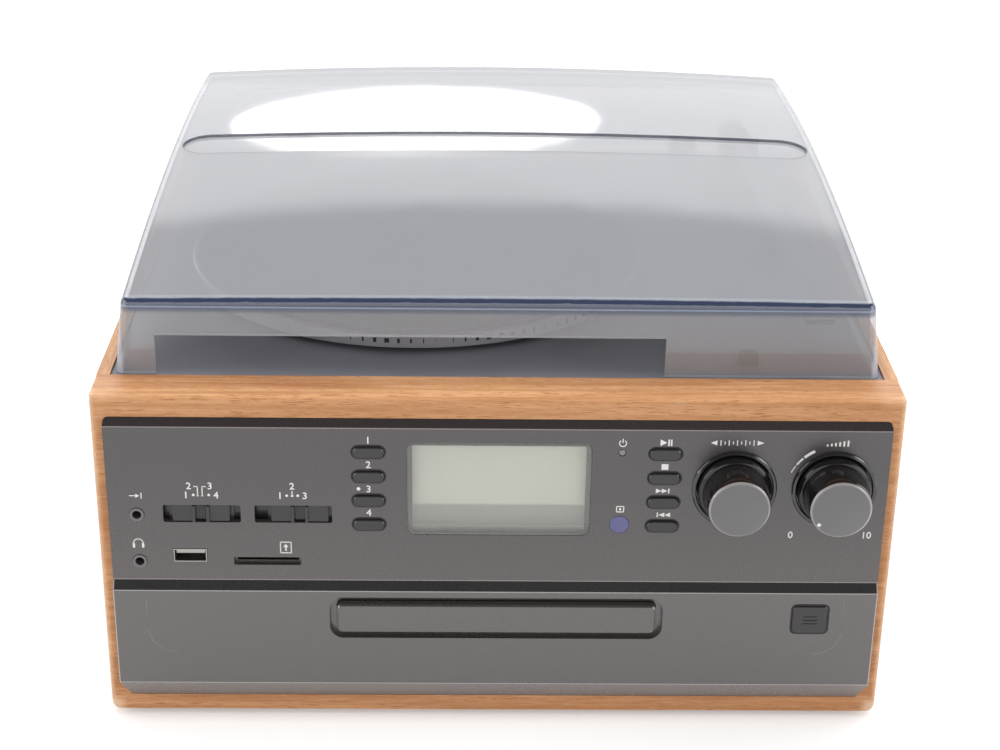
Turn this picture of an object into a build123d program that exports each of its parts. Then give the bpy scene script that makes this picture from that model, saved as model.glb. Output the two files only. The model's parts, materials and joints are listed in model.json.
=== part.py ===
"""Stereo music centre: a wooden cabinet with a radio and disc-player front and a
record deck under a smoky lid. Millimetres. X is to the right, Y to the back and Z up.
The origin is on the floor, under the middle of the overall box."""
from build123d import *
import math
import os

# ---------------------------------------------------------------- cabinet
CABINET_WIDTH = 315.0
CABINET_DEPTH = 310.0          # front frame's face to back board's outer face
SIDE_EDGE = 5.1                # wood beside the front panels, and beside the deck
SIDE_THICK = 9.0               # side boards, below the deck
RAIL_HEIGHT = 8.4              # wood above the front panels
BASE_THICK = 6.9
FRAME_DEPTH = 20.5             # front frame, front to back
BACK_THICK = 5.0
EDGE_ROUND = 3.0               # upright front edges
TOP_ROUND = 0.8                # front frame's upper front edge
BOTTOM_ROUND = 4.0             # lower outer corners
BACK_INSET = 1.0               # back board's edges inside the cabinet's
OPENING_ROUND = 2.2            # upper corners of the front frame's opening
CORNER_CUT = 3.6               # lower corners of that opening, cut off inwards
FOOT_HEIGHT = 3.0
FOOT_R = 9.0
FOOT_INSET = 26.0

# ---------------------------------------------------------------- front panels
CONTROL_HEIGHT = 70.3
DISC_PANEL_HEIGHT = 55.7
PANEL_GAP = 0.2                # between the two panels
PANEL_FIT = 0.15               # panel to the frame's opening
CONTROL_PROUD = 3.0            # control panel's face in front of the wood
DISC_PROUD = 5.5
SKIN = 3.0                     # control panel's plate
PANEL_WALL = 2.2
PANEL_CORNER = 2.5
PANEL_DEPTH = 14.0             # rim behind the wood's front plane
TOP_BEVEL = 2.8
DISC_TOP_BEVEL = 3.4
DISC_BOTTOM_BEVEL = 9.2
BOARD_Y = 12.0                 # front circuit board behind the wood's front plane
BOARD_THICK = 1.6
PILLAR_R = 3.0

# positions on the control panel, from its left or right end and down from the wood's top
JACK_X = 11.1
AUX_DROP = 49.4
PHONES_DROP = 70.2
FUNCTION_X = 36.5
BAND_X = 72.2
SWITCH_DROP = 48.9
USB_X = 31.1
USB_DROP = 67.5
CARD_X = 61.5
CARD_DROP = 70.0
LEFT_BUTTON_X = 101.8
BUTTON_DROP = 21.6
BUTTON_PITCH = 10.55
LCD_LEFT_X = 116.65            # display window's left edge
LCD_DROP = 37.5
LCD_RIGHT_X = 116.05           # its right edge; from here on, from the right end
LAMP_X = 104.4
LAMP_DROP = 21.1
IR_DROP = 52.7
RIGHT_BUTTON_X = 87.6
TUNING_X = 60.1
VOLUME_X = 21.1
KNOB_DROP = 36.5
PILLAR_HIGH = 16.0             # board pillars, upper and lower row
PILLAR_LOW = 72.0
PILLAR_KNOB_DROP = 14.0        # the pillar between the knobs
PILLAR_ENDS = (12.0, 10.0)     # outer pillars, from the left and the right end
PILLAR_JACK_X = 19.7
PILLAR_MIDDLES = (90.0, 95.0)

# ---------------------------------------------------------------- controls
BUTTON_LENGTH = 12.3
BUTTON_HEIGHT = 4.8
BUTTON_PROUD = 1.0
BUTTON_TRAVEL = 1.0
BUTTON_FIT = 0.25              # all round, in its hole
FLANGE = 0.8                   # retaining flange, past the hole
FLANGE_THICK = 1.0
TACT_SIZE = 6.0
TACT_HEIGHT = 3.5
TACT_PLUNGER = 1.0
SLOT_LENGTH = 30.3
SLOT_HEIGHT = 7.6
SLIDER_LENGTH = 22.3
FUNCTION_OFFSET = -0.4         # slider from its slot's middle, at rest
BAND_OFFSET = 2.5
SLIDER_SINK = 0.6              # slider's face behind the panel's face
SLIDER_GRIP = 4.3
SLIDER_RIDGE = 1.2             # each ridge's width, and its height over the cap
SLIDER_FIT = 0.3               # slider in its slot, above and below
SLIDER_LIP = 1.5               # slider's flange past its ends
SWITCH_BODY = (24.0, 9.0, 6.0) # slide switch: length, height and depth
KNOB_R = 14.5
KNOB_FACE_R = 11.8
KNOB_REACH = 17.7              # knob's face in front of the panel's face
KNOB_FIT = 0.4                 # knob to its bezel
KNOB_WAIST = 1.1               # body past the face, on the radius
KNOB_SKIRT = 4.0               # flared skirt's height
KNOB_HUB_WALL = 2.5
BEZEL_R = 16.6
BEZEL_PROUD = 1.2
CONTROL_R = 8.5                # rotary control behind a knob
CONTROL_LENGTH = 7.0
SHAFT_R = 3.0
RUN = 0.05                     # running fit, on the radius
LCD_HEIGHT = 40.6
LCD_LIP = 2.1
PANE_THICK = 1.5
PANE_FIT = 0.15
LCD_SINK = 3.0                 # display's glass behind the wood's front plane
LAMP_R = 1.4
IR_R = 3.8
JACK_R = 1.8
JACK_COLLAR_R = 2.8
JACK_DEPTH = 14.0
USB_WIDTH = 13.1
USB_HEIGHT = 5.7
USB_WALL = 0.4
CARD_SLOT = 26.5
CARD_SLOT_HEIGHT = 3.5
CARD_DEPTH = 28.0
CARD_THICK = 2.4

# ---------------------------------------------------------------- disc player
DOOR_DROP = 94.4
DOOR_WIDTH = 127.4
DOOR_HEIGHT = 12.9
DOOR_PROUD = 1.0
MOAT = 2.9                     # dark groove round the door
MOAT_DEPTH = 3.0
DOOR_FIT = 0.3
DOOR_THICK = 5.5
DISC_SKIN = 2.6
TRAY_LENGTH = 150.0
TRAY_HEIGHT = 10.0
TRAY_FLOOR = 4.8
TRAY_TRAVEL = 130.0
DISC_R = 60.3
GUIDE_FIT = 0.3
CHASSIS_WALL = 3.0
CHASSIS_FRONT = 6.0
OPEN_BUTTON_X = 26.4           # from the panel's right end
OPEN_BUTTON_DROP = 94.2
OPEN_BUTTON_WIDTH = 14.1
OPEN_BUTTON_HEIGHT = 12.6
OPEN_BOARD_Y = 8.0

# ---------------------------------------------------------------- turntable
DECK_DROP = 1.0                # deck's face below the wood's top
DECK_THICK = 2.5
DECK_SKIRT = 16.0
DECK_FIT = 0.3
PLATTER_R = 100.0
PLATTER_X = -34.5
PLATTER_Y = 146.0              # behind the wood's front plane
PLATTER_LIFT = 2.0             # rim above the deck
PLATTER_HEIGHT = 6.0
PLATTER_TOP = 2.0
PLATTER_WALL = 3.0             # rim and belt ring
COLLAR_RISE = 1.5              # spindle's collar above the rim's lower edge
MAT_THICK = 1.5
MAT_EDGE = 2.5                 # mat inside the platter's edge
MAT_GROOVES = 4
MAT_GROOVE = 3.0
HUB_R = 12.0
BELT_RING_R = 60.0
SPINDLE_R = 3.575
SPINDLE_REACH = 12.5           # above the mat
BEARING_R = 8.0
BEARING_DEPTH = 15.0
PULLEY_R = 4.0
PULLEY_DISTANCE = 74.0
PULLEY_ANGLE = 60.0
BELT_THICK = 0.7
BELT_HEIGHT = 2.6
BELT_GAP = 0.3
MOTOR_R = 14.0
MOTOR_HEIGHT = 22.0
MOTOR_SHAFT_R = 1.0
ARM_X = 30.0                   # pivot, in from the right side board
ARM_Y = 52.0                   # pivot, in from the back
ARM_HEIGHT = 20.0              # tube's axis above the deck
ARM_OVERHANG = 14.0
ARM_REST_TURN = 2.0            # degrees outwards, at rest
ARM_R = 4.0
ARM_BASE_LENGTH = 56.0
ARM_BASE_WIDTH = 32.0
ARM_BASE_SHIFT = 6.0           # base plate's middle, in front of the pivot
ARM_BASE_THICK = 3.0
ARM_HUB_R = 10.0
ARM_HUB_HEIGHT = 11.0
YOKE_HALF = 9.5                # pivot to the yoke's outer faces
YOKE_WALL = 3.0
YOKE_DEPTH = 8.0
ARM_PIN_R = 1.0
WEIGHT_R = 7.5                 # counterweight
WEIGHT_START = 11.0            # behind the pivot
WEIGHT_LENGTH = 10.0
HEAD_LENGTH = 30.0
HEAD_WIDTH = 16.0
HEAD_THICK = 4.0
HEAD_FRONT = 8.0               # head's end past the stylus
FINGER_LENGTH = 4.0            # finger lift beside the head
CARTRIDGE_WIDTH = 12.0
CARTRIDGE_LENGTH = 17.0
STYLUS_DROP = 2.0              # stylus below the cartridge's body
RECORD_THICK = 1.6
STYLUS_GAP = 0.5
REST_REACH = 100.0
REST_POST_R = 3.5
REST_FOOT_R = 6.0
REST_DEPTH = 6.0
REST_GAP = 0.3
CUE_REACH = 20.0               # lifting rail, from the pivot
CUE_TURN = 20.0                # lifter's stem, inwards of the resting arm
RAIL_START = -7.0              # rail's ends, inwards of the resting arm, in degrees
RAIL_END = 52.0
RAIL_WIDTH = 4.0
RAIL_THICK = 2.0
STEM_R = 1.8
CUE_HEIGHT = 5.3               # lever's shaft above the deck
CUE_SHAFT_R = 1.5
CAM_R = 2.0
CAM_OFFSET = 0.8
CUE_LEVER_X = 11.5             # lever's inner side, outwards of the pivot
CUE_LEVER_WIDTH = 3.0
CUE_LEVER_THICK = 4.0
CUE_LEVER_LENGTH = 26.0
CUE_PAD = 6.0                  # lever's finger pad, square
BRACKET_HALF = 5.0             # lifter's bracket beside its stem
BRACKET_DEPTH = 8.4
BRACKET_ROOM = 2.7             # cam's room in the bracket, to each side
SPEED_X = 52.0                 # in from the right side board
SPEED_Y = 38.0
SPEED_TRAVEL = 7.0
SPEED_CAP = (7.0, 8.0, 4.0)
SPEED_NECK = 2.4
SPEED_KEEPER = 6.0             # keeper plate under the deck, square

# ---------------------------------------------------------------- lid
LID_SIDE_GAP = 1.8             # side boards to the lid
LID_DRAFT = 6.7                # degrees, side walls
LID_WALL = 2.4
LID_FRONT_HEIGHT = 30.4        # at the sides, above the wood's top
LID_PEAK_HEIGHT = 44.8
LID_REAR_HEIGHT = 41.3
LID_FRONT_CROWN = 1.0          # extra height along the middle
LID_PEAK_CROWN = 3.5
LID_REAR_CROWN = 5.0
LID_GAP = 2.5                  # front frame's back edge to the lid
LID_FLOAT = 0.3                # lid's foot above the deck
LID_EDGE_ROUND = 3.5
GROOVE_MARGIN = 10.1           # lid's foot to the groove's ends
GROOVE_WIDTH = 24.0
GROOVE_DEPTH = 1.2
GROOVE_Y = 168.0
NOTCH_HEIGHT = 16.5
NOTCH_WIDTH = 200.0
HINGE_X = 100.0
HINGE_SETBACK = 4.0            # pin's axis in from the back
HINGE_PIN_R = 1.5
HINGE_EAR_R = 3.4
HINGE_EAR_WIDTH = 6.0
HINGE_CHEEK = 3.0
HINGE_GAP = 0.4                # ear to its cheeks and its block
PIN_FIT = 0.02                 # held pins and shafts, on the radius
HINGE_HEIGHT = 6.5             # pin's axis above the deck

# ---------------------------------------------------------------- inside and rear
SPEAKER_R = 40.0
GRILLE_R = 36.0
GRILLE_THICK = 3.0
SPEAKER_Y = 220.0
SPEAKER_DEPTH = 34.0
TERMINAL_WIDTH = 100.0
TERMINAL_HEIGHT = 36.0
TERMINAL_DEPTH = 12.0
TERMINAL_WALL = 1.6
TERMINAL_FLANGE = 5.0
TERMINAL_FLANGE_THICK = 1.5
TERMINAL_RISE = 46.0           # centre above the floor
TERMINAL_FIT = 0.3
RCA_X = 28.0                   # outer socket, from the terminal panel's middle
RCA_R = 4.15
RCA_LENGTH = 9.0
RCA_PITCH = 18.0
RCA_BORE_R = 1.65
INLET_X = -26.0                # mains inlet, from the terminal panel's middle
INLET_FACE = (24.0, 16.0)
INLET_BODY = (20.0, 12.0)
INLET_MOUTH = (16.6, 8.8)
INLET_DEPTH = 14.0
INLET_FLANGE = 2.0
INLET_PIN_R = 1.2
INLET_PIN_X = 3.9              # pins, from the inlet's middle
TRANSFORMER_SIDE = 66.8        # its middle, in from the left side board
TRANSFORMER_BACK = 60.0        # its middle, in from the back
TRANSFORMER_CORE = (52.0, 34.0, 44.0)
TRANSFORMER_FOOT = (72.0, 16.0, 2.0)
TRANSFORMER_COIL = (32.0, 52.0, 28.0)
MAIN_BOARD_GAP = 8.6           # transformer's foot to the main board
MAIN_BOARD_SIDE = 44.5         # its right end, in from the side board
MAIN_BOARD_BACK = 35.0         # in from the back
MAIN_BOARD_DEPTH = 90.0
MAIN_BOARD_RISE = 6.0          # above the base board
SPACER_R = 3.0
SPACER_INSET = 5.0
CAPACITOR_R = 7.0
CAPACITOR_HEIGHT = 20.0
CAPACITOR_PITCH = 22.0
SINK_LENGTH = 40.0             # heat sink: plate with fins behind it
SINK_THICK = 6.0
SINK_HEIGHT = 22.0
SINK_INSET = 10.0
FIN_THICK = 1.5
FIN_LENGTH = 11.0
FIN_PITCH = 9.0
SCREW_R = 1.4
SCREW_HEAD_R = 3.0
SCREW_HEAD = 2.0
SCREW_LENGTH = 7.0
PILOT_R = 1.45
PILOT_END = 0.3                # hole past the screw's end
SCREW_HOLE_R = 1.6
BACK_SCREWS = (0.12, 0.5, 0.85)  # heights of the back's side screws, as shares
SKIRT_SCREWS = (0.2, 0.8)      # deck skirt's screws, as shares of its depth

# ---------------------------------------------------------------- derived places
HALF = CABINET_WIDTH / 2
INNER = HALF - SIDE_EDGE       # the deck's and the front panels' room
ROOM = HALF - SIDE_THICK       # between the side boards
CABINET_HEIGHT = RAIL_HEIGHT + CONTROL_HEIGHT + PANEL_GAP + DISC_PANEL_HEIGHT + BASE_THICK
TOP = FOOT_HEIGHT + CABINET_HEIGHT
KNOB_PROUD = CONTROL_PROUD + KNOB_REACH
FRONT = KNOB_PROUD - (KNOB_PROUD + CABINET_DEPTH + TERMINAL_FLANGE_THICK) / 2
BACK = FRONT + CABINET_DEPTH
BASE_TOP = FOOT_HEIGHT + BASE_THICK
PANEL_HALF = INNER - PANEL_FIT
LCD_WIDTH = 2 * PANEL_HALF - LCD_LEFT_X - LCD_RIGHT_X
LCD_X = (LCD_LEFT_X - LCD_RIGHT_X) / 2
CONTROL_TOP = TOP - RAIL_HEIGHT - PANEL_FIT
CONTROL_BOTTOM = TOP - RAIL_HEIGHT - CONTROL_HEIGHT
DISC_TOP = CONTROL_BOTTOM - PANEL_GAP
DISC_BOTTOM = BASE_TOP + PANEL_FIT
FACE = FRONT - CONTROL_PROUD
DISC_FACE = FRONT - DISC_PROUD
PLATE_BACK = FACE + SKIN
BOARD_FRONT = FRONT + BOARD_Y
DECK = TOP - DECK_DROP
DECK_UNDER = DECK - DECK_THICK
DECK_HALF = INNER - DECK_FIT
SKIRT_HALF = ROOM - DECK_FIT
DECK_FRONT = FRONT + FRAME_DEPTH + DECK_FIT
DECK_BACK = BACK - BACK_THICK - DECK_FIT
PLATTER = (PLATTER_X, FRONT + PLATTER_Y)
RIM_BOTTOM = DECK + PLATTER_LIFT
PLATTER_FACE = RIM_BOTTOM + PLATTER_HEIGHT
MAT_FACE = PLATTER_FACE + MAT_THICK
SPINDLE_TOP = MAT_FACE + SPINDLE_REACH
PULLEY = (PLATTER[0] + PULLEY_DISTANCE * math.cos(math.radians(PULLEY_ANGLE)),
          PLATTER[1] + PULLEY_DISTANCE * math.sin(math.radians(PULLEY_ANGLE)))
BELT_BOTTOM = RIM_BOTTOM + 0.8
PIVOT = (INNER - ARM_X, BACK - ARM_Y)
PIVOT_DISTANCE = math.hypot(PIVOT[0] - PLATTER[0], PIVOT[1] - PLATTER[1])
ARM_LENGTH = PIVOT_DISTANCE + ARM_OVERHANG
ARM_AXIS = DECK + ARM_HEIGHT
STYLUS_TIP = MAT_FACE + RECORD_THICK + STYLUS_GAP
HINGE_Y = BACK - HINGE_SETBACK
HINGE_Z = DECK + HINGE_HEIGHT
LID_FRONT = FRONT + FRAME_DEPTH + LID_GAP
LID_REAR = HINGE_Y - HINGE_EAR_R - 0.6
LID_FOOT = DECK + LID_FLOAT
LID_BASE_HALF = INNER - LID_SIDE_GAP
GROOVE_LENGTH = 2 * (LID_BASE_HALF - GROOVE_MARGIN)
DOOR_Z = TOP - DOOR_DROP
DOOR_BACK = DISC_FACE - DOOR_PROUD + DOOR_THICK
TRAY_HALF = DOOR_WIDTH / 2 - 0.6
TRAY_BOTTOM = DOOR_Z - TRAY_HEIGHT / 2
SPEAKER = (FRONT + SPEAKER_Y, (BASE_TOP + DECK_UNDER - DECK_SKIRT) / 2 + 4)
TERMINAL = (ROOM / 3, TERMINAL_RISE)
TRANSFORMER = (-ROOM + TRANSFORMER_SIDE, BACK - TRANSFORMER_BACK)
BUTTON_ROWS = [TOP - BUTTON_DROP - row * BUTTON_PITCH for row in range(4)]
LEFT_BUTTONS = ["mode_button", "program_button", "record_button", "delete_button"]
RIGHT_BUTTONS = ["play_button", "stop_button", "forward_button", "back_button"]
PILLARS = [(-PANEL_HALF + PILLAR_ENDS[0], TOP - PILLAR_HIGH), (-PANEL_HALF + PILLAR_JACK_X, TOP - PILLAR_LOW),
           (-PANEL_HALF + PILLAR_MIDDLES[0], TOP - PILLAR_HIGH),
           (-PANEL_HALF + PILLAR_MIDDLES[0], TOP - PILLAR_LOW),
           (PANEL_HALF - PILLAR_MIDDLES[1], TOP - PILLAR_LOW),
           (PANEL_HALF - (TUNING_X + VOLUME_X) / 2, TOP - PILLAR_KNOB_DROP),
           (PANEL_HALF - PILLAR_ENDS[1], TOP - PILLAR_LOW)]
SPEED = (INNER - SPEED_X, FRONT + SPEED_Y)


# ---------------------------------------------------------------- helpers
def block(x, y, z):
    """Box from three (low, high) pairs."""
    size = [high - low for low, high in (x, y, z)]
    middle = [(low + high) / 2 for low, high in (x, y, z)]
    return Pos(*middle) * Box(*size)


def rod_x(y, z, radius, x0, x1):
    return Pos((x0 + x1) / 2, y, z) * Rot(0, 90, 0) * Cylinder(radius, x1 - x0)


def rod_y(x, z, radius, y0, y1):
    return Pos(x, (y0 + y1) / 2, z) * Rot(90, 0, 0) * Cylinder(radius, y1 - y0)


def rod_z(x, y, radius, z0, z1):
    return Pos(x, y, (z0 + z1) / 2) * Cylinder(radius, z1 - z0)


def facing(outline, x, z, y0, y1):
    """Outline drawn on the front, at (x, z), as a prism from y0 back to y1."""
    plane = Plane((x, y1, z), x_dir=(1, 0, 0), z_dir=(0, -1, 0))
    return extrude(plane * outline, y1 - y0)


def along_x(points, x0, x1):
    """Prism along X of a closed outline of (y, z) points."""
    plane = Plane((x0, 0, 0), x_dir=(0, 1, 0), z_dir=(1, 0, 0))
    return extrude(plane * make_face(Polyline(*points, close=True)), x1 - x0)


def turned(points, x, y):
    """Body of revolution about the vertical line at (x, y), of (radius, z) points."""
    profile = make_face(Plane.XZ * Polyline(*points, close=True))
    return Pos(x, y, 0) * revolve(profile, Axis.Z)


def turned_front(points, x, z):
    """Body of revolution about a front-to-back line at (x, z), of (radius, y) points."""
    profile = make_face(Plane.XY * Polyline(*points, close=True))
    return Pos(x, 0, z) * revolve(profile, Axis.Y)


def edges_near(shape, axis, value):
    """Edges of a shape, or of a list, that lie at one value of an axis (0, 1 or 2)."""
    edges = shape if isinstance(shape, ShapeList) else shape.edges()
    found = ShapeList()
    for edge in edges:
        box = edge.bounding_box()
        ends = (tuple(box.min)[axis], tuple(box.max)[axis])
        if max(abs(end - value) for end in ends) < 1e-3:
            found.append(edge)
    return found


# ---------------------------------------------------------------- screws
def screw_places():
    """Each screw's point under its head, and the direction that it drives in."""
    places = []
    for x in (-HALF + FOOT_INSET, HALF - FOOT_INSET):
        for y in (FRONT + FOOT_INSET, BACK - FOOT_INSET):
            places.append(((x, y, 0.3 + SCREW_HEAD), (0, 0, 1)))
    back_y = BACK - SCREW_HEAD - 0.2
    edge = SIDE_THICK / 2 + 0.5
    for x in (-HALF + edge, HALF - edge):
        for share in BACK_SCREWS:
            places.append(((x, back_y, FOOT_HEIGHT + share * CABINET_HEIGHT), (0, -1, 0)))
    for x in (-ROOM / 2, ROOM / 2):
        places.append(((x, back_y, FOOT_HEIGHT + BASE_THICK / 2), (0, -1, 0)))
    for side in (-1, 1):
        for share in SKIRT_SCREWS:
            y = DECK_FRONT + share * (DECK_BACK - DECK_FRONT)
            inside = side * (SKIRT_HALF - PANEL_WALL)
            places.append(((inside, y, DECK_UNDER - DECK_SKIRT / 2), (side, 0, 0)))
    for x, z in PILLARS:
        places.append(((x, BOARD_FRONT + BOARD_THICK, z), (0, -1, 0)))
    return places


def along(point, direction, radius, start, end):
    """Rod on a line through a point, from start to end along its direction."""
    middle = [p + d * (start + end) / 2 for p, d in zip(point, direction)]
    plane = Plane(tuple(middle), z_dir=direction)
    return plane * Cylinder(radius, abs(end - start))


def screws():
    made = []
    for point, direction in screw_places():
        head = along(point, direction, SCREW_HEAD_R, -SCREW_HEAD, 0)
        shank = along(point, direction, SCREW_R, 0, SCREW_LENGTH)
        slot = along(point, direction, SCREW_R * 0.7, -SCREW_HEAD, -SCREW_HEAD / 2)
        made.append(head + shank - slot)
    return Compound(children=made)


def bored(part, radius, driven=None):
    """Part with a hole for each screw that drives along the given axis, or along any."""
    for point, direction in screw_places():
        if driven is None or abs(direction[driven]) == 1:
            part = part - along(point, direction, radius, -0.1, SCREW_LENGTH + PILOT_END)
    return part


# ---------------------------------------------------------------- cabinet
def cabinet_outline(inset, y0, y1):
    """The cabinet's cross-section, with rounded lower corners, from y0 back to y1."""
    width = CABINET_WIDTH - 2 * inset
    outline = Pos(0, (FOOT_HEIGHT + inset + TOP) / 2) * Rectangle(width, CABINET_HEIGHT - inset)
    low = outline.vertices().group_by(Axis.Y)[0]
    return facing(fillet(low, BOTTOM_ROUND - inset), 0, 0, y0, y1)


def opening_outline(fit, low, high, radius):
    """Outline in the front frame's opening: rounded upper corners, lower corners cut off."""
    half = INNER - fit
    points = [(-half, high), (half, high), (half, low + DISC_BOTTOM_BEVEL), (half - CORNER_CUT, low),
              (-half + CORNER_CUT, low), (-half, low + DISC_BOTTOM_BEVEL)]
    outline = make_face(Polyline(*points, close=True))
    if radius:
        outline = fillet(outline.vertices().group_by(Axis.Y)[-1], radius)
    return outline


def front_frame():
    outer = block((-HALF, HALF), (FRONT, FRONT + FRAME_DEPTH), (FOOT_HEIGHT, TOP))
    outer = fillet(edges_near(outer, 1, FRONT).filter_by(Axis.Z), EDGE_ROUND)
    outer = fillet(edges_near(edges_near(outer, 1, FRONT), 2, TOP), TOP_ROUND)
    outer &= cabinet_outline(0, FRONT, FRONT + FRAME_DEPTH)
    opening = opening_outline(0, BASE_TOP, TOP - RAIL_HEIGHT, OPENING_ROUND)
    return outer - facing(opening, 0, 0, FRONT - 1, FRONT + FRAME_DEPTH + 1)


def side_board(side):
    y = (FRONT + FRAME_DEPTH, BACK - BACK_THICK)
    board = block(sorted((side * ROOM, side * HALF)), y, (FOOT_HEIGHT, TOP))
    board -= block(sorted((side * (ROOM - 1), side * INNER)), (y[0] - 1, y[1] + 1), (DECK_UNDER, TOP + 1))
    board &= cabinet_outline(0, *y)
    board -= rod_x(SPEAKER[0], SPEAKER[1], GRILLE_R + 0.2, -HALF - 1, HALF + 1)
    return bored(board, PILOT_R)


def base_board():
    board = block((-ROOM, ROOM), (FRONT + FRAME_DEPTH, BACK - BACK_THICK), (FOOT_HEIGHT, BASE_TOP))
    return bored(board, PILOT_R)


def back_board():
    board = block((-HALF, HALF), (BACK - BACK_THICK, BACK), (FOOT_HEIGHT, DECK_UNDER))
    board &= cabinet_outline(BACK_INSET, BACK - BACK_THICK, BACK)
    window = Rectangle(TERMINAL_WIDTH + 2 * TERMINAL_FIT, TERMINAL_HEIGHT + 2 * TERMINAL_FIT)
    board -= facing(window, *TERMINAL, BACK - BACK_THICK - 1, BACK + 1)
    board = bored(board, SCREW_HOLE_R, 1)
    for point, direction in screw_places():
        if direction == (0, -1, 0) and point[1] > BACK - BACK_THICK:
            board -= along(point, direction, SCREW_HEAD_R + 0.3, -SCREW_HEAD - 1, 0)
    return board


def feet():
    made = []
    for x in (-HALF + FOOT_INSET, HALF - FOOT_INSET):
        for y in (FRONT + FOOT_INSET, BACK - FOOT_INSET):
            foot = rod_z(x, y, FOOT_R, 0, FOOT_HEIGHT)
            foot -= rod_z(x, y, SCREW_HEAD_R + 0.4, -1, 0.3 + SCREW_HEAD)
            foot -= rod_z(x, y, SCREW_HOLE_R, 0, FOOT_HEIGHT + 1)
            made.append(chamfer(foot.edges().filter_by(GeomType.CIRCLE).sort_by(SortBy.RADIUS)[-2:], 0.5))
    return Compound(children=made)


# ---------------------------------------------------------------- front panels
def left(x):
    return -PANEL_HALF + x


def right(x):
    return PANEL_HALF - x


def knob_places():
    return [(right(TUNING_X), TOP - KNOB_DROP), (right(VOLUME_X), TOP - KNOB_DROP)]


def button_places():
    places = [(name, left(LEFT_BUTTON_X), z) for name, z in zip(LEFT_BUTTONS, BUTTON_ROWS)]
    return places + [(name, right(RIGHT_BUTTON_X), z) for name, z in zip(RIGHT_BUTTONS, BUTTON_ROWS)]


def switch_places():
    """Each slot's middle, and its slider's offset at rest."""
    z = TOP - SWITCH_DROP
    return {"function_switch_cap": (left(FUNCTION_X), z, FUNCTION_OFFSET),
            "band_switch_cap": (left(BAND_X), z, BAND_OFFSET)}


def control_panel():
    height = CONTROL_TOP - CONTROL_BOTTOM
    middle = (CONTROL_TOP + CONTROL_BOTTOM) / 2
    outline = Rectangle(2 * PANEL_HALF, height)
    outline = fillet(outline.vertices().group_by(Axis.Y)[-1], OPENING_ROUND - PANEL_FIT)
    panel = facing(outline, 0, middle, FACE, FRONT + PANEL_DEPTH)
    panel -= along_x([(FACE - 1, CONTROL_TOP - TOP_BEVEL - 1), (FACE, CONTROL_TOP - TOP_BEVEL),
                      (FRONT, CONTROL_TOP), (FRONT, CONTROL_TOP + 1), (FACE - 1, CONTROL_TOP + 1)],
                     -HALF, HALF)
    inside = RectangleRounded(2 * (PANEL_HALF - PANEL_WALL), height - 2 * PANEL_WALL, PANEL_CORNER)
    panel -= facing(inside, 0, middle, PLATE_BACK, FRONT + PANEL_DEPTH + 1)
    for x, z in PILLARS:
        panel += rod_y(x, z, PILLAR_R, PLATE_BACK - 0.5, BOARD_FRONT)
    for _, x, z in button_places():
        hole = SlotOverall(BUTTON_LENGTH + 2 * BUTTON_FIT, BUTTON_HEIGHT + 2 * BUTTON_FIT)
        panel -= facing(hole, x, z, FACE - 1, PLATE_BACK + 1)
    for x, z, _ in switch_places().values():
        panel -= facing(RectangleRounded(SLOT_LENGTH, SLOT_HEIGHT, 0.8), x, z, FACE - 1, PLATE_BACK + 1)
    for x, z in knob_places():
        panel -= rod_y(x, z, BEZEL_R - 1, FACE - 1, PLATE_BACK + 1)
    lcd = (LCD_X, TOP - LCD_DROP)
    panel -= facing(RectangleRounded(LCD_WIDTH, LCD_HEIGHT, 3.5), *lcd, FACE - 1, FACE + PANE_THICK + 0.2)
    sight = Rectangle(LCD_WIDTH - 2 * LCD_LIP, LCD_HEIGHT - 2 * LCD_LIP)
    panel -= facing(sight, *lcd, FACE - 1, PLATE_BACK + 1)
    panel -= rod_y(right(LAMP_X), TOP - LAMP_DROP, LAMP_R + 0.1, FACE - 1, PLATE_BACK + 1)
    panel -= rod_y(right(LAMP_X), TOP - IR_DROP, IR_R + 0.1, FACE - 1, PLATE_BACK + 1)
    for drop in (AUX_DROP, PHONES_DROP):
        panel -= rod_y(left(JACK_X), TOP - drop, JACK_COLLAR_R + 0.15, FACE - 1, PLATE_BACK + 1)
    usb = Rectangle(USB_WIDTH + 0.4, USB_HEIGHT + 0.4)
    panel -= facing(usb, left(USB_X), TOP - USB_DROP, FACE - 1, PLATE_BACK + 1)
    card = Rectangle(CARD_SLOT, CARD_SLOT_HEIGHT)
    panel -= facing(card, left(CARD_X), TOP - CARD_DROP, FACE - 1, PLATE_BACK + 1)
    return bored(panel, PILOT_R, 1)


def open_button_place():
    return right(OPEN_BUTTON_X), TOP - OPEN_BUTTON_DROP


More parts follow.
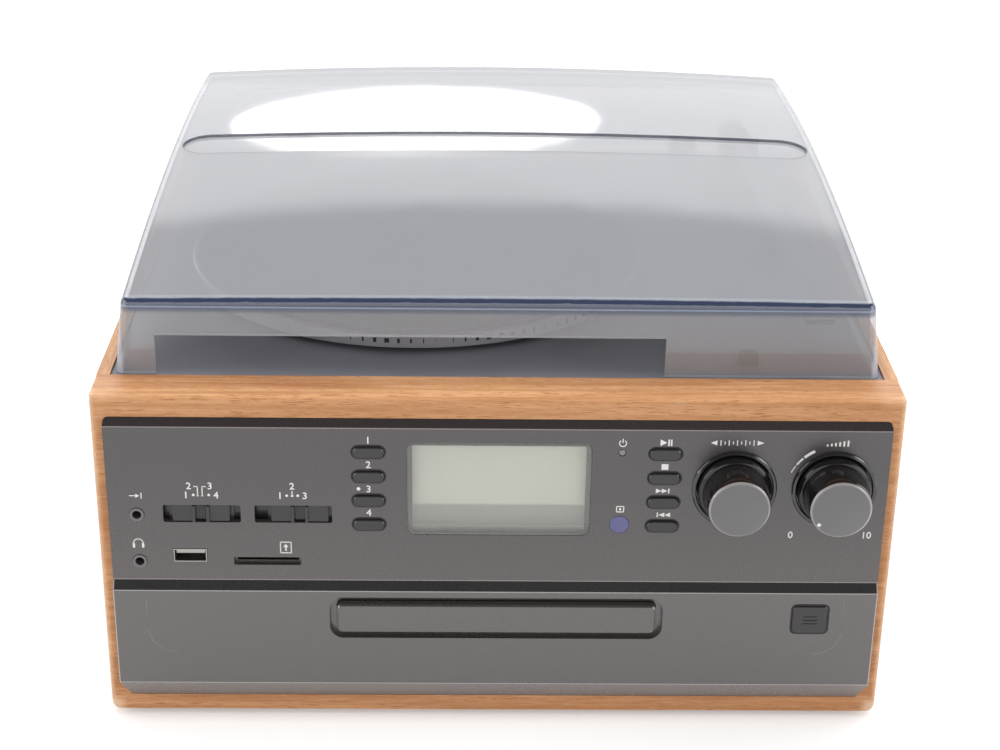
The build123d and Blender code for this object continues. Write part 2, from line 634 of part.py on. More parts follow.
def disc_panel():
    outline = opening_outline(PANEL_FIT, DISC_BOTTOM, DISC_TOP, 0)
    panel = facing(outline, 0, 0, DISC_FACE, FRONT + PANEL_DEPTH)
    step = FACE + 0.2
    panel -= along_x([(DISC_FACE - 1, DISC_TOP + 1), (step, DISC_TOP + 1), (step, DISC_TOP),
                      (DISC_FACE, DISC_TOP - DISC_TOP_BEVEL), (DISC_FACE - 1, DISC_TOP - DISC_TOP_BEVEL)],
                     -HALF, HALF)
    bevel_top = DISC_BOTTOM + DISC_BOTTOM_BEVEL
    panel -= along_x([(DISC_FACE - 1, bevel_top), (DISC_FACE, bevel_top), (FRONT, DISC_BOTTOM),
                      (FRONT, DISC_BOTTOM - 1), (DISC_FACE - 1, DISC_BOTTOM - 1)], -HALF, HALF)
    back = DISC_FACE + DISC_SKIN
    end = FRONT + PANEL_DEPTH + 1
    panel -= along_x([(end, DISC_BOTTOM + PANEL_WALL), (FRONT + 2, DISC_BOTTOM + PANEL_WALL),
                      (back, bevel_top + 1.2), (back, DISC_TOP - DISC_TOP_BEVEL - 1),
                      (step + 2, DISC_TOP - PANEL_WALL), (end, DISC_TOP - PANEL_WALL)],
                     -PANEL_HALF + PANEL_WALL + CORNER_CUT, PANEL_HALF - PANEL_WALL - CORNER_CUT)
    moat = (DOOR_WIDTH + 2 * MOAT, DOOR_HEIGHT + 2 * MOAT)
    collar_back = DISC_FACE + MOAT_DEPTH + 2.5
    panel += facing(Rectangle(moat[0] + 4, moat[1] + 4), 0, DOOR_Z, back - 0.2, collar_back)
    panel -= facing(RectangleRounded(*moat, 5.5), 0, DOOR_Z, DISC_FACE - 1, DISC_FACE + MOAT_DEPTH)
    passage = RectangleRounded(DOOR_WIDTH + 2 * DOOR_FIT, DOOR_HEIGHT + 2 * DOOR_FIT, 2.5)
    panel -= facing(passage, 0, DOOR_Z, DISC_FACE - 1, collar_back + 1)
    x, z = open_button_place()
    hole = RectangleRounded(OPEN_BUTTON_WIDTH + 2 * BUTTON_FIT, OPEN_BUTTON_HEIGHT + 2 * BUTTON_FIT, 2)
    panel -= facing(hole, x, z, DISC_FACE - 1, back + 1)
    for side in (-1, 1):
        panel += rod_y(x + side * 13, z, PILLAR_R, back - 0.5, FRONT + OPEN_BOARD_Y)
    return panel


def button(x, z, outline, grown, front, plate_back, board):
    """Cap with a retaining flange behind the plate and a stem towards its switch."""
    cap = facing(outline, x, z, front, plate_back + 0.1)
    rim = [edge for edge in cap.edges() if abs(edge.center().Y - front) < 1e-3]
    cap = chamfer(rim, 0.4)
    cap += facing(grown, x, z, plate_back + 0.05, plate_back + FLANGE_THICK)
    stem_end = board - TACT_HEIGHT - TACT_PLUNGER - BUTTON_TRAVEL - 0.1
    return cap + rod_y(x, z, 1.5, plate_back, stem_end)


def panel_button(x, z):
    outline = SlotOverall(BUTTON_LENGTH, BUTTON_HEIGHT)
    grown = SlotOverall(BUTTON_LENGTH + 2 * FLANGE, BUTTON_HEIGHT + 2 * FLANGE)
    return button(x, z, outline, grown, FACE - BUTTON_PROUD, PLATE_BACK, BOARD_FRONT)


def cd_open_button():
    x, z = open_button_place()
    outline = RectangleRounded(OPEN_BUTTON_WIDTH, OPEN_BUTTON_HEIGHT, 1.8)
    grown = Rectangle(OPEN_BUTTON_WIDTH + 2 * FLANGE, OPEN_BUTTON_HEIGHT + 2 * FLANGE)
    made = button(x, z, outline, grown, DISC_FACE - 0.6, DISC_FACE + DISC_SKIN, FRONT + OPEN_BOARD_Y)
    for row in (-1, 0, 1):
        groove = Rectangle(OPEN_BUTTON_WIDTH * 0.4, 0.5)
        made -= facing(groove, x, z + row * 1.6, DISC_FACE - 1, DISC_FACE - 0.3)
    return made


def slider_cap(name):
    """Cap with a grooved grip, a flange behind the plate and a tab towards its switch."""
    x, z, offset = switch_places()[name]
    x += offset
    height = SLOT_HEIGHT - 2 * SLIDER_FIT
    face = FACE + SLIDER_SINK
    cap = facing(RectangleRounded(SLIDER_LENGTH, height, 0.6), x, z, face, PLATE_BACK + 0.1)
    cap -= facing(Rectangle(SLIDER_GRIP, height + 1), x, z, face - 1, face + SLIDER_RIDGE)
    for side in (-1, 1):
        ridge = Rectangle(SLIDER_RIDGE, height)
        ridge_x = x + side * (SLIDER_GRIP + SLIDER_RIDGE) / 2
        cap += facing(ridge, ridge_x, z, face - SLIDER_RIDGE, face + 0.1)
    flange = Rectangle(SLIDER_LENGTH + 2 * SLIDER_LIP, SLOT_HEIGHT + 3 * FLANGE)
    cap += facing(flange, x, z, PLATE_BACK + 0.05, PLATE_BACK + FLANGE_THICK)
    tab = Rectangle(SLIDER_GRIP, SLIDER_GRIP)
    return cap + facing(tab, x, z, PLATE_BACK, BOARD_FRONT - SWITCH_BODY[2] - REST_GAP)


def knob(x, z):
    """Hollow cap with a hub that grips the control's shaft."""
    rear = FACE + 0.5
    face = FACE - KNOB_REACH
    waist = KNOB_FACE_R + KNOB_WAIST
    hub = SHAFT_R + KNOB_HUB_WALL
    inside = waist - PANEL_WALL + 0.6
    body = turned_front([(0, face), (KNOB_FACE_R, face), (waist, face + 1.0), (waist + 0.6, rear - KNOB_SKIRT),
                         (KNOB_R, rear - KNOB_SKIRT + 1.4), (KNOB_R, rear), (0, rear)], x, z)
    hollow = turned_front([(hub, rear + 1), (hub, face + 3), (KNOB_FACE_R - 1, face + 3),
                           (inside, rear - KNOB_SKIRT), (inside, rear + 1)], x, z)
    return body - hollow - rod_y(x, z, SHAFT_R + PIN_FIT, face + 4, rear + 1)


def shaft(x, z):
    return rod_y(x, z, SHAFT_R, FACE - KNOB_REACH + 4.2, BOARD_FRONT - 1.2)


def knob_bezels():
    made = []
    inner = KNOB_R + KNOB_FIT
    for x, z in knob_places():
        ring = turned_front([(inner, FACE - BEZEL_PROUD + 0.3), (inner + 0.4, FACE - BEZEL_PROUD),
                             (BEZEL_R - 0.4, FACE - BEZEL_PROUD), (BEZEL_R, FACE - BEZEL_PROUD + 0.4),
                             (BEZEL_R, FACE), (BEZEL_R - 1.1, FACE), (BEZEL_R - 1.1, PLATE_BACK - 0.2),
                             (SHAFT_R + 2.4, PLATE_BACK - 0.2), (SHAFT_R + 2.4, PLATE_BACK - 1.2),
                             (inner, PLATE_BACK - 1.2)], x, z)
        made.append(ring)
    return Compound(children=made)


def control_bodies():
    """Rotary controls, slide switches and tactile switches on the front board."""
    made = []
    for x, z in knob_places():
        body = rod_y(x, z, CONTROL_R, BOARD_FRONT - CONTROL_LENGTH, BOARD_FRONT)
        body += rod_y(x, z, SHAFT_R + 1.8, PLATE_BACK - 1, BOARD_FRONT - CONTROL_LENGTH + 1)
        made.append(body - rod_y(x, z, SHAFT_R + RUN, PLATE_BACK - 2, BOARD_FRONT - 1))
    length, height, depth = SWITCH_BODY
    for x, z, _ in switch_places().values():
        body = facing(Rectangle(length, height), x, z, BOARD_FRONT - depth, BOARD_FRONT)
        made.append(body)
    for _, x, z in button_places():
        made.append(tact_switch(x, z, BOARD_FRONT))
    made.append(tact_switch(*open_button_place(), FRONT + OPEN_BOARD_Y))
    return Compound(children=made)


def tact_switch(x, z, board):
    half = TACT_SIZE / 2
    body = block((x - half, x + half), (board - TACT_HEIGHT, board), (z - half, z + half))
    return body + rod_y(x, z, 1.75, board - TACT_HEIGHT - TACT_PLUNGER, board - TACT_HEIGHT + 0.1)


def front_circuit_board():
    z = (CONTROL_BOTTOM + PANEL_WALL + 0.6, CONTROL_TOP - PANEL_WALL - 0.6)
    half = PANEL_HALF - PANEL_WALL - 0.6
    outline = RectangleRounded(2 * half, z[1] - z[0], PANEL_CORNER)
    board = facing(outline, 0, sum(z) / 2, BOARD_FRONT, BOARD_FRONT + BOARD_THICK)
    cut = Rectangle(CARD_SLOT + 3.9, CARD_THICK + 2.8 + 0.4)
    board -= facing(cut, left(CARD_X), TOP - CARD_DROP, BOARD_FRONT - 1, BOARD_FRONT + BOARD_THICK + 1)
    board = bored(board, SCREW_HOLE_R, 1)
    x, z = open_button_place()
    small_y = FRONT + OPEN_BOARD_Y
    small = block((x - 17, x + 17), (small_y, small_y + BOARD_THICK), (z - 9, z + 9))
    return Compound(children=[board, small])


def lcd_window():
    outline = RectangleRounded(LCD_WIDTH - 2 * PANE_FIT, LCD_HEIGHT - 2 * PANE_FIT, 3.3)
    return facing(outline, LCD_X, TOP - LCD_DROP, FACE + 0.2, FACE + 0.2 + PANE_THICK)


def lcd_module():
    centre = (LCD_X, TOP - LCD_DROP)
    sight = (LCD_WIDTH - 2 * LCD_LIP, LCD_HEIGHT - 2 * LCD_LIP)
    body = facing(Rectangle(LCD_WIDTH + 4, LCD_HEIGHT + 3), *centre, PLATE_BACK + 0.2, BOARD_FRONT)
    return body - facing(Rectangle(*sight), *centre, PLATE_BACK - 1, PLATE_BACK + LCD_SINK)


def power_led():
    x, z = right(LAMP_X), TOP - LAMP_DROP
    lens = rod_y(x, z, LAMP_R, FACE - 0.3, PLATE_BACK + 4)
    lens = fillet([edge for edge in lens.edges() if abs(edge.center().Y - (FACE - 0.3)) < 1e-3], 0.9)
    return lens + rod_y(x, z, LAMP_R + 0.9, PLATE_BACK + 3.5, BOARD_FRONT)


def ir_window():
    x, z = right(LAMP_X), TOP - IR_DROP
    lens = rod_y(x, z, IR_R, FACE - 0.2, PLATE_BACK + 0.5)
    lens = fillet([edge for edge in lens.edges() if abs(edge.center().Y - (FACE - 0.2)) < 1e-3], 0.3)
    receiver = block((x - 3, x + 3), (PLATE_BACK + 1, BOARD_FRONT), (z - 3.5, z + 3.5))
    return lens + rod_y(x, z, IR_R + 0.8, PLATE_BACK + 0.05, PLATE_BACK + 1.1) + receiver


def usb_socket():
    x, z = left(USB_X), TOP - USB_DROP
    shell = facing(Rectangle(USB_WIDTH, USB_HEIGHT), x, z, FACE - 0.2, BOARD_FRONT)
    inside = (USB_WIDTH - 2 * USB_WALL, USB_HEIGHT - 2 * USB_WALL)
    shell -= facing(Rectangle(*inside), x, z, FACE - 1, BOARD_FRONT - 3)
    tongue = block((x - 5.6, x + 5.6), (FACE + 1.5, BOARD_FRONT - 2.5), (z + 0.2, z + 1.9))
    return shell + tongue


def card_socket():
    x, z = left(CARD_X), TOP - CARD_DROP
    y0 = PLATE_BACK + 0.2
    body = facing(Rectangle(CARD_SLOT + 3.5, CARD_THICK + 2.8), x, z, y0, y0 + CARD_DEPTH)
    return body - facing(Rectangle(CARD_SLOT - 2, CARD_THICK), x, z, y0 - 1, y0 + CARD_DEPTH - 2)


def audio_jacks():
    made = []
    x = left(JACK_X)
    for drop in (AUX_DROP, PHONES_DROP):
        z = TOP - drop
        body = block((x - 4, x + 4), (PLATE_BACK + 0.2, BOARD_FRONT), (z - 4, z + 4))
        body += rod_y(x, z, JACK_COLLAR_R, FACE - 0.4, PLATE_BACK + 0.3)
        made.append(body - rod_y(x, z, JACK_R, FACE - 1, FACE - 0.4 + JACK_DEPTH))
    return Compound(children=made)


# ---------------------------------------------------------------- disc player
def cd_door():
    front = DISC_FACE - DOOR_PROUD
    door = facing(RectangleRounded(DOOR_WIDTH, DOOR_HEIGHT, 2.2), 0, DOOR_Z, front, DOOR_BACK)
    door = chamfer([edge for edge in door.edges() if abs(edge.center().Y - front) < 1e-3], 0.6)
    return door - facing(Rectangle(DOOR_WIDTH - 8, DOOR_HEIGHT - 5), 0, DOOR_Z, front + 2.2, DOOR_BACK + 1)


def cd_tray():
    y = (DOOR_BACK, DOOR_BACK + TRAY_LENGTH)
    centre = DOOR_BACK + 3 + DISC_R
    tray = block((-TRAY_HALF, TRAY_HALF), y, (TRAY_BOTTOM, TRAY_BOTTOM + TRAY_HEIGHT))
    tray -= rod_z(0, centre, DISC_R, TRAY_BOTTOM + TRAY_FLOOR, TRAY_BOTTOM + TRAY_HEIGHT + 1)
    tray -= rod_z(0, centre, 18, TRAY_BOTTOM - 1, TRAY_BOTTOM + TRAY_FLOOR + 1)
    return tray - block((-18, 18), (centre, centre + 46), (TRAY_BOTTOM - 1, TRAY_BOTTOM + TRAY_FLOOR + 1))


def cd_chassis():
    """Drive frame on four legs, with side guides, a disc motor and a clamp bridge."""
    y = (FRONT + CHASSIS_FRONT, DOOR_BACK + TRAY_LENGTH + 8)
    inside = TRAY_HALF + GUIDE_FIT
    outside = inside + CHASSIS_WALL
    low = TRAY_BOTTOM - 8
    high = TRAY_BOTTOM + TRAY_HEIGHT + 5
    floor = block((-outside, outside), y, (low - CHASSIS_WALL, low))
    frame = floor
    for side in (-1, 1):
        wall = sorted((side * inside, side * outside))
        frame += block(wall, y, (low - CHASSIS_WALL, high))
        lip = sorted((side * (inside - 5), side * inside))
        frame += block(lip, y, (TRAY_BOTTOM - GUIDE_FIT - 2, TRAY_BOTTOM - GUIDE_FIT))
        upper = TRAY_BOTTOM + TRAY_HEIGHT + GUIDE_FIT
        frame += block(sorted((side * (inside - 2), side * inside)), y, (upper, upper + 2))
    centre = DOOR_BACK + 3 + DISC_R
    frame += block((-outside, outside), (centre - 14, centre + 14), (high - 2, high))
    frame += rod_z(0, centre, 14, TRAY_BOTTOM + TRAY_HEIGHT + 1, high - 1)
    frame += rod_z(0, centre, 13, low - 1, TRAY_BOTTOM - 1)
    for x in (-outside + 6, outside - 6):
        for leg_y in (y[0] + 8, y[1] - 8):
            if leg_y < FRONT + FRAME_DEPTH + 5:
                leg_y = FRONT + FRAME_DEPTH + 5
            frame += rod_z(x, leg_y, 4, BASE_TOP, low - 1)
    return frame


# ---------------------------------------------------------------- turntable
def deck_plate():
    plate = block((-DECK_HALF, DECK_HALF), (DECK_FRONT, DECK_BACK), (DECK_UNDER, DECK))
    plate += block((-SKIRT_HALF, SKIRT_HALF), (DECK_FRONT, DECK_BACK), (DECK_UNDER - DECK_SKIRT, DECK_UNDER))
    inside = SKIRT_HALF - PANEL_WALL
    plate -= block((-inside, inside), (DECK_FRONT + PANEL_WALL, DECK_BACK - PANEL_WALL),
                   (DECK_UNDER - DECK_SKIRT - 1, DECK_UNDER))
    plate += block((-DECK_HALF, DECK_HALF), (DECK_BACK - 1, BACK), (DECK_UNDER, DECK))
    plate += rod_z(*PLATTER, BEARING_R, DECK_UNDER - BEARING_DEPTH, RIM_BOTTOM - 1)
    plate -= rod_z(*PLATTER, SHAFT_R + RUN, DECK_UNDER - BEARING_DEPTH + 1, DECK + 9)
    plate -= rod_z(*PULLEY, PULLEY_R + 2, DECK_UNDER - 1, DECK + 1)
    slot = (SPEED_TRAVEL + SPEED_NECK + 2 * REST_GAP, SPEED_NECK + 2 * REST_GAP)
    plate -= Pos(*SPEED, (DECK_UNDER + DECK) / 2) * Box(*slot, DECK_THICK + 2)
    return bored(plate, SCREW_HOLE_R, 0)


def platter():
    """Disc with a rim, and with a hub and a belt ring under it."""
    top = PLATTER_FACE - PLATTER_TOP
    rim = PLATTER_R - PLATTER_WALL
    ring = BELT_RING_R - PLATTER_WALL
    bore = SPINDLE_R + PIN_FIT
    collar = RIM_BOTTOM + COLLAR_RISE
    return turned([(bore, collar), (HUB_R, collar), (HUB_R, top), (ring, top), (ring, RIM_BOTTOM + 0.5),
                   (BELT_RING_R, RIM_BOTTOM + 0.5), (BELT_RING_R, top), (rim, top), (rim, RIM_BOTTOM),
                   (PLATTER_R, RIM_BOTTOM), (PLATTER_R, PLATTER_FACE - 0.8),
                   (PLATTER_R - 0.8, PLATTER_FACE), (bore, PLATTER_FACE)], *PLATTER)


def platter_mat():
    """Rubber mat with grooves between the raised rings that carry the record."""
    bore = SPINDLE_R + 0.4
    edge = PLATTER_R - MAT_EDGE
    mat = turned([(bore, PLATTER_FACE), (edge, PLATTER_FACE), (edge, MAT_FACE), (bore, MAT_FACE)], *PLATTER)
    for count in range(1, MAT_GROOVES + 1):
        outer = edge * count / (MAT_GROOVES + 1)
        inner = outer - MAT_GROOVE
        low = MAT_FACE - MAT_THICK / 3
        mat -= turned([(inner, low), (outer, low), (outer, MAT_FACE + 1), (inner, MAT_FACE + 1)], *PLATTER)
    return mat


def platter_spindle():
    collar = RIM_BOTTOM + COLLAR_RISE
    foot = DECK_UNDER - BEARING_DEPTH + 1.3
    tip = SPINDLE_TOP
    return turned([(0, foot), (SHAFT_R, foot), (SHAFT_R, RIM_BOTTOM - 0.8), (BEARING_R - 1, RIM_BOTTOM - 0.8),
                   (BEARING_R - 1, collar), (SPINDLE_R, collar), (SPINDLE_R, tip - 2.5),
                   (SPINDLE_R - 1.2, tip - 0.6), (SPINDLE_R - 2.4, tip), (0, tip)], *PLATTER)


def platter_motor():
    flange = 2.0
    motor = rod_z(*PULLEY, MOTOR_R, DECK_UNDER - MOTOR_HEIGHT, DECK_UNDER - flange)
    ears = Box(2 * MOTOR_R + 14, 2 * MOTOR_R - 6, flange)
    motor += Pos(PULLEY[0], PULLEY[1], DECK_UNDER - flange / 2) * ears
    return motor - rod_z(*PULLEY, MOTOR_SHAFT_R + RUN, DECK_UNDER - 14, DECK_UNDER + 1)


def motor_pulley():
    bottom = BELT_BOTTOM - 0.4
    top = BELT_BOTTOM + BELT_HEIGHT + 0.1
    pulley = turned([(0, DECK_UNDER - 13), (MOTOR_SHAFT_R, DECK_UNDER - 13), (MOTOR_SHAFT_R, bottom),
                     (PULLEY_R, bottom), (PULLEY_R, top), (0, top)], *PULLEY)
    return pulley


def drive_belt():
    def loop(extra):
        big = Circle(BELT_RING_R + BELT_GAP + extra)
        small = Pos(PULLEY[0] - PLATTER[0], PULLEY[1] - PLATTER[1]) * Circle(PULLEY_R + BELT_GAP + extra)
        return make_hull(big.edges() + small.edges())
    band = loop(BELT_THICK) - loop(0)
    return Pos(*PLATTER, BELT_BOTTOM) * extrude(band, BELT_HEIGHT)


def arm_turn():
    """From the arm's own frame, pivot at the origin and tube along -Y, to its rest place."""
    return Pos(PIVOT[0], PIVOT[1], 0) * Rot(0, 0, ARM_REST_TURN)


CUE_Z = DECK + CUE_HEIGHT
SADDLE = ARM_AXIS - ARM_R - REST_GAP
STEM = (-CUE_REACH * math.sin(math.radians(CUE_TURN)), -CUE_REACH * math.cos(math.radians(CUE_TURN)))
BRACKET_TOP = SADDLE - RAIL_THICK - 1.7


def tonearm_base():
    """Base plate with the pivot's hub and the lifter's bracket."""
    plate = extrude(SlotOverall(ARM_BASE_LENGTH, ARM_BASE_WIDTH, rotation=90), ARM_BASE_THICK)
    base = Pos(0, -ARM_BASE_SHIFT, DECK) * plate
    base += rod_z(0, 0, ARM_HUB_R, DECK, DECK + ARM_HUB_HEIGHT)
    base -= rod_z(0, 0, SHAFT_R + RUN, DECK + 1, DECK + ARM_HUB_HEIGHT + 1)
    x, y = STEM
    depth = (y - BRACKET_DEPTH / 2, y + BRACKET_DEPTH / 2)
    room = (y - BRACKET_DEPTH, y + BRACKET_DEPTH)
    base += block((x - BRACKET_HALF, ARM_HUB_R - 2), depth, (DECK + ARM_BASE_THICK - 1, BRACKET_TOP))
    base -= block((x - BRACKET_ROOM, x + BRACKET_ROOM), room, (DECK + ARM_BASE_THICK, CUE_Z + CAM_R + 1.5))
    base -= rod_z(x, y, STEM_R + RUN, CUE_Z, BRACKET_TOP + 1)
    base -= rod_x(y, CUE_Z, CUE_SHAFT_R + RUN, x - BRACKET_HALF - 1, ARM_HUB_R + 2)
    return arm_turn() * base


def arm_lifter():
    """Stem in the base's bracket, with a curved rail under the whole swing of the arm."""
    x, y = STEM
    height = (SADDLE - RAIL_THICK, SADDLE)
    ring = rod_z(0, 0, CUE_REACH + RAIL_WIDTH / 2, *height)
    ring -= rod_z(0, 0, CUE_REACH - RAIL_WIDTH / 2, *height)
    far = 2 * CUE_REACH
    angles = [math.radians(a) for a in (RAIL_START, (RAIL_START + RAIL_END) / 2, RAIL_END)]
    points = [(0, 0)] + [(-far * math.sin(a), -far * math.cos(a)) for a in angles]
    wedge = Pos(0, 0, height[0] - 1) * extrude(make_face(Polyline(*points, close=True)), RAIL_THICK + 2)
    lifter = (ring & wedge) + rod_z(x, y, STEM_R, CUE_Z + CAM_R + REST_GAP, height[0] + 0.5)
    return arm_turn() * lifter


def tonearm_yoke():
    """Turning fork: a shaft in the base's hub, a disc on it and two cheeks beside the tube."""
    low = DECK + ARM_HUB_HEIGHT + REST_GAP
    inner = YOKE_HALF - YOKE_WALL
    yoke = rod_z(0, 0, SHAFT_R, DECK + 1.3, low + 1)
    yoke += rod_z(0, 0, ARM_HUB_R, low, low + 2)
    for side in (-1, 1):
        cheek = sorted((side * inner, side * YOKE_HALF))
        yoke += block(cheek, (-YOKE_DEPTH / 2, YOKE_DEPTH / 2), (low + 1, ARM_AXIS + ARM_R))
    yoke -= rod_x(0, ARM_AXIS, ARM_PIN_R + RUN, -YOKE_HALF - 1, YOKE_HALF + 1)
    return arm_turn() * yoke


def tonearm():
    """Tube with its pivot pin, counterweight, head and finger lift."""
    head = (-ARM_LENGTH - HEAD_FRONT, -ARM_LENGTH - HEAD_FRONT + HEAD_LENGTH)
    head_z = (ARM_AXIS - HEAD_THICK + 1, ARM_AXIS + 1)
    boss = YOKE_HALF - YOKE_WALL - REST_GAP
    half = HEAD_WIDTH / 2
    arm = rod_y(0, ARM_AXIS, ARM_R, head[1] - ARM_R, WEIGHT_START + WEIGHT_LENGTH / 2)
    arm += rod_y(0, ARM_AXIS, WEIGHT_R, WEIGHT_START, WEIGHT_START + WEIGHT_LENGTH)
    arm += rod_x(0, ARM_AXIS, ARM_PIN_R, -YOKE_HALF + 0.2, YOKE_HALF - 0.2)
    arm += rod_x(0, ARM_AXIS, ARM_PIN_R + 1.5, -boss, boss)
    shell = block((-half, half), head, head_z)
    arm += fillet(shell.edges().filter_by(Axis.Z), 3)
    finger_y = head[0] + 2
    arm += block((half - 1, half + FINGER_LENGTH - 1), (finger_y, finger_y + 4), (head_z[1] - 1.5, head_z[1]))
    return arm_turn() * arm


def cartridge():
    """Body under the head, with its stylus."""
    low = STYLUS_TIP + STYLUS_DROP
    half = CARTRIDGE_WIDTH / 2
    front = -ARM_LENGTH - HEAD_FRONT + 3
    body = block((-half, half), (front, front + CARTRIDGE_LENGTH), (low, ARM_AXIS - HEAD_THICK + 1))
    body += Pos(0, -ARM_LENGTH, (low + STYLUS_TIP) / 2) * Rot(180, 0, 0) * Cone(1.6, 0.3, STYLUS_DROP)
    return arm_turn() * body


def arm_rest():
    """Post with a saddle under the tube and one prong on its outer side."""
    y = (-REST_REACH - REST_DEPTH / 2, -REST_REACH + REST_DEPTH / 2)
    prong = (ARM_R + 2 * REST_GAP, ARM_R + 2 * REST_GAP + 2.5)
    rest = rod_z(0, -REST_REACH, REST_POST_R, DECK, SADDLE - 1)
    rest += rod_z(0, -REST_REACH, REST_FOOT_R, DECK, DECK + 1.5)
    rest += block((-ARM_R - 1, prong[1]), y, (SADDLE - 2.5, SADDLE))
    rest += block(prong, y, (SADDLE - 1, ARM_AXIS + 3))
    return arm_turn() * rest


def cue_lever():
    """Shaft with an offset cam under the lifter's stem, and a finger lever beside the bracket."""
    x, y = STEM
    thick = (CUE_Z - CUE_LEVER_THICK / 2, CUE_Z + CUE_LEVER_THICK / 2)
    wide = (CUE_LEVER_X, CUE_LEVER_X + CUE_LEVER_WIDTH)
    front = y - CUE_LEVER_LENGTH
    cam = BRACKET_ROOM - REST_GAP
    lever = rod_x(y, CUE_Z, CUE_SHAFT_R, x - BRACKET_HALF, wide[1])
    lever += rod_x(y - CAM_OFFSET, CUE_Z, CAM_R, x - cam, x + cam)
    lever += rod_x(y, CUE_Z, CUE_LEVER_THICK / 2, *wide)
    lever += block(wide, (front, y), thick)
    lever += block((wide[1] - 1, wide[1] - 1 + CUE_PAD), (front, front + CUE_PAD), thick)
    return arm_turn() * lever


def speed_switch():
    """Cap on the deck, with a neck through the deck's slot and a keeper plate under it."""
    x, y = SPEED
    width, depth, height = SPEED_CAP
    cap = Pos(x, y, DECK + REST_GAP + height / 2) * Box(width, depth, height)
    cap += block((x - SPEED_NECK / 2, x + SPEED_NECK / 2), (y - SPEED_NECK / 2, y + SPEED_NECK / 2),
                 (DECK_UNDER - 2, DECK + 1))
    keeper = DECK_UNDER - REST_GAP
    half = SPEED_KEEPER / 2
    return cap + block((x - half, x + half), (y - half, y + half), (keeper - 2, keeper))


# ---------------------------------------------------------------- lid
def lid_body(inset):
    """Closed form of the lid: an arched, crowned block with drafted sides."""
    front = LID_FRONT + inset
    rear = LID_REAR - inset
    foot = LID_FOOT if inset == 0 else LID_FOOT - 1
    peak_y = (LID_FRONT + LID_REAR) / 2 - 12

    def section(x, crown):
        """Side outline at one X, with its top an arc through three heights."""
        heights = [TOP - inset + height + extra * crown for height, extra in
                   ((LID_FRONT_HEIGHT, LID_FRONT_CROWN), (LID_PEAK_HEIGHT, LID_PEAK_CROWN),
                    (LID_REAR_HEIGHT, LID_REAR_CROWN))]
        arc = ThreePointArc((x, front, heights[0]), (x, peak_y, heights[1]), (x, rear, heights[2]))
        rest = Polyline((x, rear, heights[2]), (x, rear, foot), (x, front, foot), (x, front, heights[0]))
        return make_face(arc + rest)

    blank = loft([section(-HALF, 0), section(0, 1), section(HALF, 0)])
    top = TOP + LID_PEAK_HEIGHT + LID_REAR_CROWN + LID_REAR_HEIGHT
    slope = math.tan(math.radians(LID_DRAFT))
    low = LID_BASE_HALF - inset + slope * (LID_FOOT - foot)
    high = LID_BASE_HALF - inset - slope * (top - LID_FOOT)
    sides = make_face(Polyline((-low, foot), (low, foot), (high, top), (-high, top), close=True))
    return blank & facing(sides, 0, 0, LID_FRONT - 5, LID_REAR + 5)


def lid_edges(body):
    """Upper outline and upright corners of the lid's form."""
    return [edge for edge in body.edges() if edge.bounding_box().max.Z > LID_FOOT + 5]


def lid():
    outer = lid_body(0)
    outer = fillet(lid_edges(outer), LID_EDGE_ROUND)
    inner = lid_body(LID_WALL)
    inner = fillet(lid_edges(inner), max(LID_EDGE_ROUND - LID_WALL, 0.5))
    shell = outer - inner
    stadium = Pos(0, FRONT + GROOVE_Y, TOP) * extrude(SlotOverall(GROOVE_LENGTH, GROOVE_WIDTH), 100)
    shell -= stadium & (outer - lid_body(GROOVE_DEPTH))
    notch = (LID_FOOT - 1, LID_FOOT + NOTCH_HEIGHT)
    half = NOTCH_WIDTH / 2
    x, y = PLATTER
    shell -= block((x - half, x + half), (LID_FRONT - 1, LID_FRONT + LID_WALL + 3), notch)
    shell -= block((-LID_BASE_HALF - 1, -LID_BASE_HALF + LID_WALL + 6), (y - half, y + half), notch)
    rear = (LID_REAR - LID_WALL - 1, LID_REAR + 1)
    shell -= block((-HALF, HALF), rear, (LID_FOOT - 1, HINGE_Z - HINGE_EAR_R))
    for side in (-1, 1):
        ear_x = (side * HINGE_X - HINGE_EAR_WIDTH / 2, side * HINGE_X + HINGE_EAR_WIDTH / 2)
        shell += block(ear_x, (LID_REAR - LID_WALL, HINGE_Y), (HINGE_Z - HINGE_EAR_R, HINGE_Z + HINGE_EAR_R))
        shell += rod_x(HINGE_Y, HINGE_Z, HINGE_EAR_R, *ear_x)
        shell -= rod_x(HINGE_Y, HINGE_Z, HINGE_PIN_R + RUN, ear_x[0] - 1, ear_x[1] + 1)
    return shell


def lid_hinges():
    """Two hinge blocks, each with its pin."""
    made = []
    reach = HINGE_EAR_WIDTH / 2 + HINGE_GAP
    outside = reach + HINGE_CHEEK
    pad_top = HINGE_Z - HINGE_EAR_R - HINGE_GAP
    for side in (-1, 1):
        x = side * HINGE_X
        y = (HINGE_Y - HINGE_EAR_R, HINGE_Y + HINGE_EAR_R)
        hinge = block((x - outside, x + outside), y, (DECK, pad_top))
        for cheek in ((x - outside, x - reach), (x + reach, x + outside)):
            hinge += block(cheek, y, (DECK, HINGE_Z)) + rod_x(HINGE_Y, HINGE_Z, HINGE_EAR_R, *cheek)
        made.append(hinge - rod_x(HINGE_Y, HINGE_Z, HINGE_PIN_R + PIN_FIT, x - outside - 1, x + outside + 1))
        made.append(rod_x(HINGE_Y, HINGE_Z, HINGE_PIN_R, x - outside, x + outside))
    return Compound(children=made)


